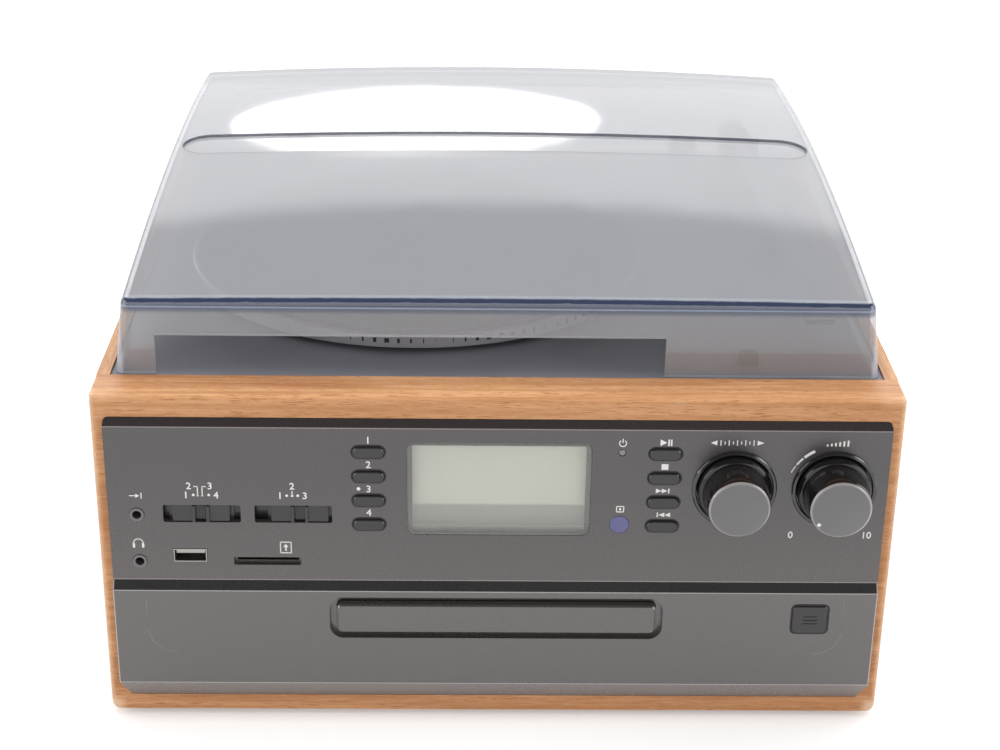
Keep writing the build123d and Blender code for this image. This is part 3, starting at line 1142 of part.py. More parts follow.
# ---------------------------------------------------------------- inside and rear
def speakers():
    made = []
    y, z = SPEAKER
    for side in (-1, 1):
        wall = side * ROOM
        cone = Pos(wall, y, z) * Rot(0, -side * 90, 0) * revolve(make_face(Plane.XZ * Polyline(
            (0, 8), (SPEAKER_R - 6, 1), (SPEAKER_R - 6, 0), (SPEAKER_R, 0), (SPEAKER_R, 2), (SPEAKER_R - 4, 2),
            (22, SPEAKER_DEPTH - 12), (22, SPEAKER_DEPTH), (0, SPEAKER_DEPTH), close=True)), Axis.Z)
        made.append(cone)
    return Compound(children=made)


def speaker_grilles():
    """Round grilles with slots, flush in the side boards."""
    made = []
    y, z = SPEAKER
    pitch = GRILLE_R / 5
    for side in (-1, 1):
        x = sorted((side * (HALF - 0.4), side * (HALF - 0.4 - GRILLE_THICK)))
        grille = rod_x(y, z, GRILLE_R, *x)
        for row in range(-4, 5):
            half = math.sqrt((GRILLE_R - 4) ** 2 - (row * pitch) ** 2)
            middle = z + row * pitch
            slit = (middle - pitch / 4, middle + pitch / 4)
            grille -= block((x[0] - 1, x[1] + 1), (y - half, y + half), slit)
        made.append(grille)
    return Compound(children=made)


def main_board():
    """Main circuit board on four spacers, with its capacitors and heat sink."""
    x = (TRANSFORMER[0] + TRANSFORMER_FOOT[0] / 2 + MAIN_BOARD_GAP, ROOM - MAIN_BOARD_SIDE)
    y = (BACK - MAIN_BOARD_BACK - MAIN_BOARD_DEPTH, BACK - MAIN_BOARD_BACK)
    low = BASE_TOP + MAIN_BOARD_RISE
    board = block(x, y, (low, low + BOARD_THICK))
    for corner_x in (x[0] + SPACER_INSET, x[1] - SPACER_INSET):
        for corner_y in (y[0] + SPACER_INSET, y[1] - SPACER_INSET):
            board += rod_z(corner_x, corner_y, SPACER_R, BASE_TOP, low + 0.5)
    top = low + BOARD_THICK
    row = y[0] + CAPACITOR_PITCH
    for step in range(3):
        capacitor_x = x[0] + CAPACITOR_PITCH * (step + 1)
        board += rod_z(capacitor_x, row, CAPACITOR_R, top - 0.5, top + CAPACITOR_HEIGHT)
    sink = (x[1] - SINK_INSET - SINK_LENGTH, x[1] - SINK_INSET)
    board += block(sink, (row, row + SINK_THICK), (top - 0.5, top + SINK_HEIGHT))
    for fin in range(5):
        fin_x = sink[0] + 1 + fin * FIN_PITCH
        fin_y = (row + SINK_THICK - 1, row + SINK_THICK - 1 + FIN_LENGTH)
        board += block((fin_x, fin_x + FIN_THICK), fin_y, (top + 2, top + SINK_HEIGHT))
    return board


def power_transformer():
    """Core on a mounting foot, with the coil through its middle."""
    width, depth, height = TRANSFORMER_CORE
    coil_width, coil_depth, coil_height = TRANSFORMER_COIL
    foot_width, foot_depth, foot_height = TRANSFORMER_FOOT
    core = Pos(*TRANSFORMER, BASE_TOP + height / 2) * Box(width, depth, height)
    core += Pos(*TRANSFORMER, BASE_TOP + foot_height / 2) * Box(foot_width, foot_depth, foot_height)
    return core + Pos(*TRANSFORMER, BASE_TOP + height / 2) * Box(coil_width, coil_depth, coil_height)


def terminal_panel():
    """Recessed dish in the back board, with a flange outside."""
    x, z = TERMINAL
    outer = (TERMINAL_WIDTH, TERMINAL_HEIGHT)
    floor = BACK - TERMINAL_DEPTH
    floor_back = floor - TERMINAL_WALL
    flange_outline = RectangleRounded(outer[0] + 2 * TERMINAL_FLANGE, outer[1] + 2 * TERMINAL_FLANGE, 2)
    inside = Rectangle(outer[0] - 2 * TERMINAL_WALL, outer[1] - 2 * TERMINAL_WALL)
    dish = facing(Rectangle(*outer), x, z, floor_back, BACK)
    dish += facing(flange_outline, x, z, BACK, BACK + TERMINAL_FLANGE_THICK)
    dish -= facing(inside, x, z, floor, BACK + TERMINAL_FLANGE_THICK + 1)
    for place in rca_places():
        dish -= rod_y(place, z, RCA_R - 1 + 0.1, floor_back - 1, floor + 1)
    hole = Rectangle(INLET_BODY[0] + 0.4, INLET_BODY[1] + 0.4)
    return dish - facing(hole, x + INLET_X, z, floor_back - 1, floor + 1)


def rca_places():
    """Each line-out socket's place along X."""
    return [TERMINAL[0] + RCA_X, TERMINAL[0] + RCA_X - RCA_PITCH]


def rear_sockets():
    """Two line-out sockets and the mains inlet."""
    x, z = TERMINAL
    floor = BACK - TERMINAL_DEPTH
    made = []
    for place in rca_places():
        socket = rod_y(place, z, RCA_R, floor, floor + RCA_LENGTH)
        socket += rod_y(place, z, RCA_R + 2, floor, floor + 1)
        socket += rod_y(place, z, RCA_R - 1, floor - TERMINAL_WALL - 4, floor + 0.5)
        made.append(socket - rod_y(place, z, RCA_BORE_R, floor + 1, floor + RCA_LENGTH + 1))
    inlet_x = x + INLET_X
    inlet = facing(Rectangle(*INLET_FACE), inlet_x, z, floor, floor + INLET_FLANGE)
    inlet += facing(Rectangle(*INLET_BODY), inlet_x, z, floor - INLET_DEPTH, floor + 0.5)
    inlet -= facing(SlotOverall(*INLET_MOUTH), inlet_x, z, floor - INLET_DEPTH + 3, floor + INLET_FLANGE + 1)
    for side in (-1, 1):
        inlet += rod_y(inlet_x + side * INLET_PIN_X, z, INLET_PIN_R, floor - INLET_DEPTH + 2, floor - 3)
    made.append(inlet)
    return Compound(children=made)


# ---------------------------------------------------------------- all nodes
def nodes():
    parts = {
        "front_frame": front_frame(), "side_board_left": side_board(-1), "side_board_right": side_board(1),
        "base_board": base_board(), "back_board": back_board(), "feet": feet(), "screws": screws(),
        "control_panel": control_panel(), "cd_panel": disc_panel(), "lcd_window": lcd_window(),
        "lcd_module": lcd_module(), "ir_window": ir_window(), "power_led": power_led(),
        "usb_socket": usb_socket(), "card_socket": card_socket(), "audio_jacks": audio_jacks(),
        "knob_bezels": knob_bezels(), "control_bodies": control_bodies(),
        "front_circuit_board": front_circuit_board(), "cd_open_button": cd_open_button(),
        "cd_door": cd_door(), "cd_tray": cd_tray(), "cd_chassis": cd_chassis(),
        "deck_plate": deck_plate(), "platter": platter(), "platter_mat": platter_mat(),
        "platter_spindle": platter_spindle(), "platter_motor": platter_motor(), "motor_pulley": motor_pulley(),
        "drive_belt": drive_belt(), "tonearm_base": tonearm_base(), "tonearm_yoke": tonearm_yoke(),
        "tonearm": tonearm(), "cartridge": cartridge(), "arm_rest": arm_rest(),
        "cue_lever": cue_lever(), "arm_lifter": arm_lifter(),
        "speed_switch": speed_switch(), "lid": lid(), "lid_hinges": lid_hinges(),
        "speakers": speakers(), "speaker_grilles": speaker_grilles(), "main_board": main_board(),
        "power_transformer": power_transformer(),
        "terminal_panel": terminal_panel(), "rear_sockets": rear_sockets(),
    }
    for name, x, z in button_places():
        parts[name] = panel_button(x, z)
    for name in switch_places():
        parts[name] = slider_cap(name)
    for name, (x, z) in zip(("tuning", "volume"), knob_places()):
        parts[name + "_knob"] = knob(x, z)
        parts[name + "_shaft"] = shaft(x, z)
    return parts


os.makedirs("parts", exist_ok=True)
for node, shape in nodes().items():
    export_step(shape, "parts/" + node + ".step")
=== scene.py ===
"""Finishes, printed marks and studio for a stereo music centre with a wooden cabinet."""

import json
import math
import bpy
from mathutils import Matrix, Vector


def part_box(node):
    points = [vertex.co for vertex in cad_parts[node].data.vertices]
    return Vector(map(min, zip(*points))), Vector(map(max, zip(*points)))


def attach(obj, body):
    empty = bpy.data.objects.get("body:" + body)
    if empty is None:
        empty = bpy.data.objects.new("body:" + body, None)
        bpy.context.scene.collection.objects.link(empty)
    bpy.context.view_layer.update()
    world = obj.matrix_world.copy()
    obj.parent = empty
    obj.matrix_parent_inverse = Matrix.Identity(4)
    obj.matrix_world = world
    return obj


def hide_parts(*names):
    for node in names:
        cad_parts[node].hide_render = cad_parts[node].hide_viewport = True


bl_info = {
    "name": "Stereo music centre",
    "version": (1, 0, 0),
    "blender": (4, 5, 0),
    "location": "3D View > Sidebar > Music centre",
    "description": "Finishes, printed marks and studio of a stereo music centre",
    "category": "Add Mesh",
}

import bmesh
import bpy
from bpy.props import FloatProperty, FloatVectorProperty, IntProperty, PointerProperty
from mathutils import Matrix, Vector

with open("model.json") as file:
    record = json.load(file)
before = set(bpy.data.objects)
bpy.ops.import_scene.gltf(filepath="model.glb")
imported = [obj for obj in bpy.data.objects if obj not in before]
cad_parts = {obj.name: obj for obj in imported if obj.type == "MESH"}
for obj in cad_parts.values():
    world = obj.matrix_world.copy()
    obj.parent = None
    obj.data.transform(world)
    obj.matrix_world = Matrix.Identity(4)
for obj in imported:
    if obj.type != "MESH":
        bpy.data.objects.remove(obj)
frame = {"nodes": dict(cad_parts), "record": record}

MM = 0.001
FRAME_LOW, FRAME_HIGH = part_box("front_frame")
WOOD_FRONT = FRAME_LOW.y
CABINET_TOP = FRAME_HIGH.z
CABINET_HALF = FRAME_HIGH.x
PANEL_LOW, PANEL_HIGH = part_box("control_panel")
PANEL_FACE = PANEL_LOW.y
DISC_LOW, DISC_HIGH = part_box("cd_panel")
DISC_FACE = DISC_LOW.y
LID_LOW, LID_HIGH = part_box("lid")
PLATTER_LOW, PLATTER_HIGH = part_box("platter")
PLATTER_CENTRE = (PLATTER_LOW + PLATTER_HIGH) / 2
TUNING_LOW, TUNING_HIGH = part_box("tuning_knob")
VOLUME_LOW, VOLUME_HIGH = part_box("volume_knob")
KNOB_FACE = TUNING_LOW.y
KNOB_REAR = TUNING_HIGH.y
TUNING_CENTRE = (TUNING_LOW + TUNING_HIGH) / 2
VOLUME_CENTRE = (VOLUME_LOW + VOLUME_HIGH) / 2

# Bevels of the two front panels, the line scored in the lid, and the arch along the lid's side
PANEL_BEVEL = 2.8 * MM
DISC_BEVEL = 3.4 * MM
DISC_FOOT_BEVEL = 9.2 * MM
GROOVE_PLACE = WOOD_FRONT + 168 * MM
GROOVE_HALF = 140.5 * MM
GROOVE_RADIUS = 12 * MM
LID_FRONT_EDGE = CABINET_TOP + 30.9 * MM
LID_ARCH_RISE = 0.1694
LID_ARCH_BEND = 0.4736

# Printed marks, in millimetres: places across and up the control panel from the part's origin
LINE = 0.38
DOT = 0.55
LABEL_ROW = 128.0
FIGURES_X = -50.5
FIGURE_ROWS = (128.2, 117.6, 107.0, 96.6)
FUNCTION_FIGURES = [("1", -121.6, 103.9), ("2", -120.4, 107.9), ("3", -112.2, 107.9), ("4", -109.9, 103.9)]
BAND_FIGURES = [("1", -85.0, 103.8), ("2", -80.3, 108.0), ("3", -75.4, 103.8)]
VOLUME_FIGURES = [("0", 115.6, 87.7), ("10", 146.0, 87.7)]
RECORD_DOT = (-54.4, 107.0, 0.75)
SIGNS_X = 64.6
SIGN_ROWS = (127.9, 117.4, 106.9, 96.3)
LAMP_SIGN = (47.9, 127.5)
REMOTE_SIGN = (47.9, 98.7)
HEADPHONE_SIGN = (-141.3, 82.3)
INPUT_SIGN = (-141.0, 103.4)
CARD_SIGN = (-83.4, 80.7)

# The photograph's camera, in degrees and from the middle of the cabinet's top front edge
CAMERA_YAW, CAMERA_PITCH, CAMERA_ROLL = 1.1837, 24.5395, 0.9018
CAMERA_PLACE = Vector((-14.16 * MM, WOOD_FRONT - 687.78 * MM, CABINET_TOP + 324.35 * MM))


def srgb(red, green, blue):
    """A colour as a screen shows it, 0 to 255, in the linear values of a shader."""
    def linear(value):
        value /= 255
        return value / 12.92 if value <= 0.04045 else ((value + 0.055) / 1.055) ** 2.4
    return (linear(red), linear(green), linear(blue), 1)


def opaque(colour):
    return (*colour[:3], 1)


def shade(colour, share):
    """A colour with each of its parts multiplied."""
    return opaque([part * share for part in colour[:3]])


# ------------------------------------------------------------------ shader maths
class Number:
    """A number in a shader, which plain arithmetic works on."""

    def __init__(self, finish, socket):
        self.finish = finish
        self.socket = socket

    def maths(self, operation, *others):
        node = self.finish.node("ShaderNodeMath", {"operation": operation}, dict(enumerate((self, *others))))
        return Number(self.finish, node.outputs[0])

    def __add__(self, other):
        return self.maths("ADD", other)

    def __radd__(self, other):
        return self.maths("ADD", other)

    def __sub__(self, other):
        return self.maths("SUBTRACT", other)

    def __rsub__(self, other):
        return self.maths("MULTIPLY_ADD", -1.0, other)

    def __mul__(self, other):
        return self.maths("MULTIPLY", other)

    def __rmul__(self, other):
        return self.maths("MULTIPLY", other)

    def __truediv__(self, other):
        return self.maths("DIVIDE", other)

    def __pow__(self, other):
        return self.maths("POWER", other)

    def __abs__(self):
        return self.maths("ABSOLUTE")

    def sine(self):
        return self.maths("SINE")

    def above(self, edge, soft):
        """0 below an edge and 1 above it, over a soft step."""
        settings = {"interpolation_type": "SMOOTHSTEP"}
        node = self.finish.node("ShaderNodeMapRange", settings,
                                {"Value": self.socket, "From Min": edge - soft, "From Max": edge + soft})
        return Number(self.finish, node.outputs["Result"])


def feed(tree, socket, value):
    """Links a socket to another one, or sets its value."""
    if isinstance(value, Number):
        value = value.socket
    if isinstance(value, bpy.types.NodeSocket):
        tree.links.new(value, socket)
    else:
        socket.default_value = value


def add_node(tree, kind, settings=None, inputs=None):
    """Adds a node by its type, with its settings first and then what feeds its sockets."""
    node = tree.nodes.new(kind)
    for name, value in (settings or {}).items():
        setattr(node, name, value)
    for name, value in (inputs or {}).items():
        feed(tree, node.inputs[name], value)
    return node


class Finish:
    """One material, whose nodes are added by type, settings and inputs."""

    def __init__(self, name):
        self.material = bpy.data.materials.get(name) or bpy.data.materials.new(name)
        self.material.use_nodes = True
        self.tree = self.material.node_tree
        self.tree.nodes.clear()
        self.shader = self.node("ShaderNodeBsdfPrincipled")
        self.output = self.node("ShaderNodeOutputMaterial", None, {"Surface": self.shader.outputs[0]})
        coordinates = self.node("ShaderNodeTexCoord")
        self.place = coordinates.outputs["Object"]
        self.facing = coordinates.outputs["Normal"]

    def node(self, kind, settings=None, inputs=None):
        return add_node(self.tree, kind, settings, inputs)

    def scaled(self, x, y, z):
        """The place on the piece, in metres, with each direction multiplied."""
        node = self.node("ShaderNodeMapping", None, {"Vector": self.place, "Scale": (x, y, z)})
        return node.outputs[0]

    def noise(self, vector, scale, detail=3.0, roughness=0.5, distortion=0.0):
        node = self.node("ShaderNodeTexNoise", None,
                         {"Vector": vector, "Scale": scale, "Detail": detail, "Roughness": roughness,
                          "Distortion": distortion})
        return Number(self, node.outputs["Fac"])

    def axes(self, vector=None):
        node = self.node("ShaderNodeSeparateXYZ", None, {0: vector or self.place})
        return [Number(self, output) for output in node.outputs]

    def mix(self, factor, first, second):
        node = self.node("ShaderNodeMix", {"data_type": "RGBA"}, {0: factor, 6: first, 7: second})
        return node.outputs[2]

    def bump(self, height, distance, strength=1.0):
        node = self.node("ShaderNodeBump", None,
                         {"Height": height, "Distance": distance, "Strength": strength})
        return node.outputs[0]

    def wear(self, **values):
        """Sets the shader's own sockets, by their names with spaces as underscores."""
        for name, value in values.items():
            feed(self.tree, self.shader.inputs[name.replace("_", " ")], value)
        return self.material


# ------------------------------------------------------------------ finishes
def veneer(name, light, dark, pale, across_x):
    """Satin wood veneer with short dark pores, its grain along the front or along the side boards, a painted
    sheen between its pores, painted shade on its front face and painted highlights on its edges, side tops
    and bottom corners.
    """
    finish = Finish(name)
    long_grain, close_grain, long_pore, close_pore = 9.0, 300.0, 150.0, 2100.0
    along, over = (long_grain, close_grain) if across_x else (close_grain, long_grain)
    dash, gap = (long_pore, close_pore) if across_x else (close_pore, long_pore)
    streaks = finish.noise(finish.scaled(along, over, close_grain), 1.0, 4.0, 0.62, 0.35)
    bands = finish.noise(finish.scaled(along * 0.5, over * 0.2, 60.0), 1.0, 2.0, 0.5, 0.6)
    pores = finish.noise(finish.scaled(dash, gap, close_pore), 1.0, 2.0, 0.6)
    grain = (streaks * 0.5 + bands * 0.3 + pores * 0.2).above(0.5, 0.14)
    flecks = pores.above(0.6, 0.05)
    shine = 1 - pores.above(0.38, 0.05)
    colour = finish.mix(grain, dark, light)
    colour = finish.mix(flecks * (0.35 + streaks.above(0.48, 0.12) * 0.4), colour, srgb(142, 84, 44))
    colour = finish.mix(shine * 0.3, colour, pale)
    x, y, z = finish.axes()
    side = abs(x)
    # Painted shade: the front face is darker than the top, where light falls from above
    front_shade = 1 - y.above(WOOD_FRONT + 1.2 * MM, 0.8 * MM)
    colour = finish.mix(front_shade * 0.28, colour, dark)
    # Painted highlights: paler veneer on the front edges, the side tops and the bottom corners, where they
    # catch the light
    edge = side.above(CABINET_HALF - 1.4 * MM, 1.2 * MM) * (1 - y.above(WOOD_FRONT + 6 * MM, 4 * MM))
    end = side.above(CABINET_HALF - 9 * MM, 4 * MM) * z.above(CABINET_TOP - 2 * MM, 1.5 * MM)
    foot = side.above(CABINET_HALF - 5 * MM, 2.5 * MM) * (1 - z.above(FRAME_LOW.z + 5 * MM, 2.5 * MM))
    highlit = (edge * 0.4 + end * 0.15).maths("MAXIMUM", foot * 0.6)
    colour = finish.mix(highlit, colour, pale)
    height = streaks * 0.5 + pores * 0.5 - flecks
    normal = finish.bump(height, 0.05 * MM, 0.55)
    return finish.wear(Base_Color=colour, Roughness=0.42 + pores * 0.18, IOR=1.4, Normal=normal)


def moulded(name, colour, roughness, texture=0.02, cells=2600.0, patch=0.06, coat=0.0, gloss=1.5):
    """Moulded plastic or rubber with a fine skin texture and slight cloudiness."""
    finish = Finish(name)
    skin = finish.noise(finish.place, cells, 2.0, 0.6)
    cloud = finish.noise(finish.place, 22.0, 3.0)
    lighter = opaque([min(1, part * (1 + patch * 3) + patch * 0.02) for part in colour[:3]])
    tone = finish.mix(cloud.above(0.5, 0.25), colour, lighter)
    rough = roughness + (cloud - 0.5) * 0.1 + (skin - 0.5) * 0.08
    normal = finish.bump(skin, texture * MM, 0.6)
    finish.wear(Base_Color=tone, Roughness=rough, Normal=normal, IOR=gloss)
    if coat:
        finish.wear(Coat_Weight=coat, Coat_Roughness=0.08)
    return finish.material


def metal(name, colour, roughness, along=(40.0, 900.0, 900.0), brush=0.12):
    """Drawn or turned metal with fine lines in one direction."""
    finish = Finish(name)
    lines = finish.noise(finish.scaled(*along), 1.0, 3.0, 0.7)
    cloud = finish.noise(finish.place, 60.0, 3.0)
    tone = finish.mix(lines * 0.6 + cloud * 0.4, shade(colour, 0.78), colour)
    rough = roughness + (lines - 0.5) * brush
    normal = finish.bump(lines, 0.02 * MM, 0.4)
    return finish.wear(Base_Color=tone, Roughness=rough, Metallic=1.0, Normal=normal)


def turning_lines(finish, pitch):
    """Fine rings round the platter's axis, from 0 to 1."""
    x, y, _ = finish.axes()
    radius = ((x - PLATTER_CENTRE.x) ** 2 + (y - PLATTER_CENTRE.y) ** 2) ** 0.5
    return (radius * (2 * math.pi / pitch)).sine() * 0.5 + 0.5


def turned_metal(name, colour, roughness, pitch):
    """Metal with turning lines round the platter's axis."""
    finish = Finish(name)
    rings = turning_lines(finish, pitch)
    cloud = finish.noise(finish.place, 45.0, 3.0)
    tone = finish.mix(rings * 0.5 + cloud * 0.5, shade(colour, 0.8), colour)
    rough = roughness + rings * 0.08 + cloud * 0.06
    normal = finish.bump(rings, 0.01 * MM, 0.5)
    return finish.wear(Base_Color=tone, Roughness=rough, Metallic=1.0, Normal=normal)


def ribbed_mat(name, colour):
    """Rubber mat with fine rings between its raised bands."""
    finish = Finish(name)
    rings = turning_lines(finish, 1.6 * MM)
    dust = finish.noise(finish.place, 900.0, 3.0)
    tone = finish.mix(dust.above(0.62, 0.1) * 0.5 + rings * 0.2, colour, srgb(92, 92, 92))
    normal = finish.bump(rings, 0.15 * MM, 0.8)
    return finish.wear(Base_Color=tone, Roughness=0.62 + dust * 0.2, Normal=normal)


def circuit(name, board, copper):
    """Circuit board with solder mask over copper tracks."""
    finish = Finish(name)
    vector = finish.scaled(150.0, 150.0, 150.0)
    cells = finish.node("ShaderNodeTexVoronoi", {"feature": "DISTANCE_TO_EDGE", "distance": "CHEBYCHEV"},
                        {"Vector": vector, "Scale": 1.0})
    tracks = Number(finish, cells.outputs["Distance"]).above(0.12, 0.03)
    speck = finish.noise(finish.place, 700.0, 2.0)
    tone = finish.mix(tracks * 0.7 + speck * 0.1, copper, board)
    normal = finish.bump(1 - tracks, 0.03 * MM, 0.6)
    return finish.wear(Base_Color=tone, Roughness=0.38 + speck * 0.1, Normal=normal)


def smoky(name, plain, deep):
    """Clear tinted plastic that looks milky, with a painted reflection where it is seen at a slant, and blue
    where it is seen edge on.
    """
    finish = Finish(name)
    layer = finish.node("ShaderNodeLayerWeight", None, {"Blend": 0.35})
    rim = Number(finish, layer.outputs["Facing"])
    cloud = finish.noise(finish.place, 9.0, 2.0)
    speck = finish.noise(finish.place, 1500.0, 2.0)
    x, y, z = finish.axes()
    side = abs(x)
    turned = abs(finish.axes(finish.facing)[2])
    top = turned.above(0.86, 0.07)
    wall = 1 - turned.above(0.3, 0.12)
    # The rounded edge follows the lid's arch, a little below its top; along it run a painted highlight line
    # and a painted dark reflection line
    back = y - LID_LOW.y
    below = LID_FRONT_EDGE + back * LID_ARCH_RISE - back * back * LID_ARCH_BEND - z
    band = (1 - below.above(5.4 * MM, 1.2 * MM)) * (1 - top)
    bright = (1 - abs(below - 3.1 * MM).above(0.32 * MM, 0.2 * MM)) * wall
    dark = (1 - abs(below - 4.4 * MM).above(0.4 * MM, 0.25 * MM)) * wall
    # The top has a paler margin at its sides and front, and its front corners shine
    rim_width, rim_blur = 3.2 * MM, 0.7 * MM
    at_side = side.above(LID_HIGH.x - rim_width, rim_blur)
    at_front = 1 - y.above(LID_LOW.y + rim_width, rim_blur)
    margin = at_side.maths("MAXIMUM", at_front) * top
    corner = at_side * at_front * (1 - top)
    # The scored line goes across the lid and ends in round turns; it is painted dark as the shade of its
    # groove
    past = (side - (GROOVE_HALF - GROOVE_RADIUS)).maths("MAXIMUM", 0.0)
    away = (past * past + (y - GROOVE_PLACE) * (y - GROOVE_PLACE)) ** 0.5
    line = (1 - abs(away - GROOVE_RADIUS).above(0.42 * MM, 0.2 * MM)) * (1 - wall)
    # Painted reflection: the plastic is lighter where it is seen at a slant
    colour = finish.mix(rim.above(0.6, 0.35) * 0.4, plain, srgb(158, 162, 172))
    colour = finish.mix(margin * (0.4 + speck.above(0.5, 0.2) * 0.5), colour, srgb(196, 204, 216))
    colour = finish.mix(band, colour, deep)
    colour = finish.mix(bright * 0.7, colour, srgb(150, 165, 198))
    colour = finish.mix(dark * 0.6, colour, srgb(62, 72, 100))
    colour = finish.mix(corner * 0.6, colour, srgb(206, 214, 236))
    colour = finish.mix(line * 0.75, colour, srgb(70, 72, 82))
    depth = 0.58 + rim * 0.16 + (cloud - 0.5) * 0.04 - wall * 0.2 + band * 0.42 + line * 0.15 + corner * 0.2
    rough = 0.05 + cloud * 0.03
    return finish.wear(Base_Color=colour, Roughness=rough, Alpha=depth.maths("MINIMUM", 1.0), IOR=1.9)


def window(name, colour, alpha):
    """Clear moulded window with a slight tint."""
    finish = Finish(name)
    cloud = finish.noise(finish.place, 40.0, 2.0)
    tone = finish.mix(cloud, colour, shade(colour, 0.94))
    return finish.wear(Base_Color=tone, Roughness=0.05 + cloud * 0.03, Alpha=alpha, IOR=1.49)


def display(name, middle, rim):
    """Unlit display: a pale green-grey field, darker at its rim as painted shade and in its lowest lines,
    with pale sides.
    """
    finish = Finish(name)
    low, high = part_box("lcd_module")
    centre = (low + high) / 2
    x, _, z = finish.axes()
    across = abs(x - centre.x) / ((high.x - low.x) / 2)
    upright = abs(z - centre.z) / ((high.z - low.z) / 2)
    # Painted shade: the field is darker towards its rim, where it sits sunk behind the window
    edge = across.maths("MAXIMUM", upright).above(0.86, 0.1)
    speck = finish.noise(finish.place, 3000.0, 2.0)
    lowest_lines = 0.28
    band = 1 - z.above(low.z + (high.z - low.z) * lowest_lines, 0.9 * MM)
    tone = finish.mix((edge * 0.5 + speck * 0.05).maths("MAXIMUM", band * 0.95), middle, rim)
    tone = finish.mix(across.above(0.955, 0.006) * 0.8, tone, srgb(172, 169, 165))
    return finish.wear(Base_Color=tone, Roughness=0.35 + speck * 0.1)


def wound(name, colour, tape):
    """Transformer: laminated core with a taped winding."""
    finish = Finish(name)
    _, _, z = finish.axes()
    sheets = (z * (2 * math.pi / (0.9 * MM))).sine() * 0.5 + 0.5
    speck = finish.noise(finish.place, 300.0, 3.0)
    tone = finish.mix(sheets * 0.5 + speck * 0.3, colour, tape)
    normal = finish.bump(sheets, 0.1 * MM, 0.6)
    return finish.wear(Base_Color=tone, Roughness=0.5 + speck * 0.2, Normal=normal)


def printed(name, colour):
    """Screen-printed ink."""
    finish = Finish(name)
    speck = finish.noise(finish.place, 5000.0, 2.0)
    tone = finish.mix(speck, shade(colour, 0.85), colour)
    return finish.wear(Base_Color=tone, Roughness=0.5 + speck * 0.1)


def panel_finish(name, colour, lower, highlight_colour, gloss):
    """Satin black front panel, greyer low down, with painted highlight lines along its bevel edges, a painted
    reflection on the disc panel's foot bevel and a painted shadow in the gap between the panels.
    """
    finish = Finish(name)
    skin = finish.noise(finish.place, 3400.0, 2.0, 0.6)
    cloud = finish.noise(finish.place, 16.0, 3.0)
    x, y, z = finish.axes()
    # Painted highlights: thin lines along the bevel edges and the disc panel's sides
    line = abs(x).above(DISC_HIGH.x - 0.35 * MM, 0.1 * MM) * (1 - z.above(DISC_HIGH.z, 0.1 * MM))
    for place in (PANEL_HIGH.z - PANEL_BEVEL, PANEL_LOW.z + 0.25 * MM, DISC_HIGH.z - DISC_BEVEL,
                  DISC_LOW.z + DISC_FOOT_BEVEL):
        line = (1 - abs(z - place).above(0.16 * MM, 0.08 * MM)).maths("MAXIMUM", line)
    line = line * (1 - y.above(PANEL_FACE + 0.35 * MM, 0.1 * MM))
    low = 1 - z.above(PANEL_LOW.z, 60 * MM)
    tone = finish.mix(low * 0.6, colour, lower)
    # Painted reflection: the foot bevel is lighter, as it mirrors the floor
    tone = finish.mix(1 - z.above(DISC_LOW.z + DISC_FOOT_BEVEL, 0.1 * MM), tone, srgb(96, 87, 84))
    shadow = z.above(DISC_HIGH.z - DISC_BEVEL, 0.1 * MM) * (1 - z.above(DISC_HIGH.z + 0.05 * MM, 0.05 * MM))
    tone = finish.mix(shadow, tone, srgb(20, 17, 19))
    tone = finish.mix(line * 0.7, tone, highlight_colour)
    rough = 0.27 + (cloud - 0.5) * 0.08 + (skin - 0.5) * 0.06
    return finish.wear(Base_Color=tone, Roughness=rough, Normal=finish.bump(skin, 0.01 * MM, 0.6), IOR=gloss)


def knob_finish(name, side, face):
    """Gloss knob with a satin lacquered face inside a turned chamfer that is painted bright as a highlight.
    """
    finish = Finish(name)
    _, y, _ = finish.axes()
    skin = finish.noise(finish.place, 3000.0, 2.0)
    front = 1 - y.above(KNOB_FACE + 0.15 * MM, 0.04 * MM)
    # Painted highlight: the chamfer round the face is painted bright
    ring = (1 - y.above(KNOB_FACE + 0.72 * MM, 0.05 * MM)) * (1 - front)
    tone = finish.mix(front, side, face)
    tone = finish.mix(ring * 0.85, tone, srgb(142, 136, 134))
    rough = 0.1 + front * 0.26 + skin * 0.05
    normal = finish.bump(skin, 0.008 * MM, 0.5)
    finish.wear(Base_Color=tone, Roughness=rough, IOR=1.5, Normal=normal)
    return finish.wear(Coat_Weight=front + ring * 0.7, Coat_IOR=1.9, Coat_Roughness=0.3)


def wood_finish(name, part, across_x):
    return veneer(name, opaque(part.wood), opaque(part.wood_stripe), opaque(part.wood_edge), across_x)


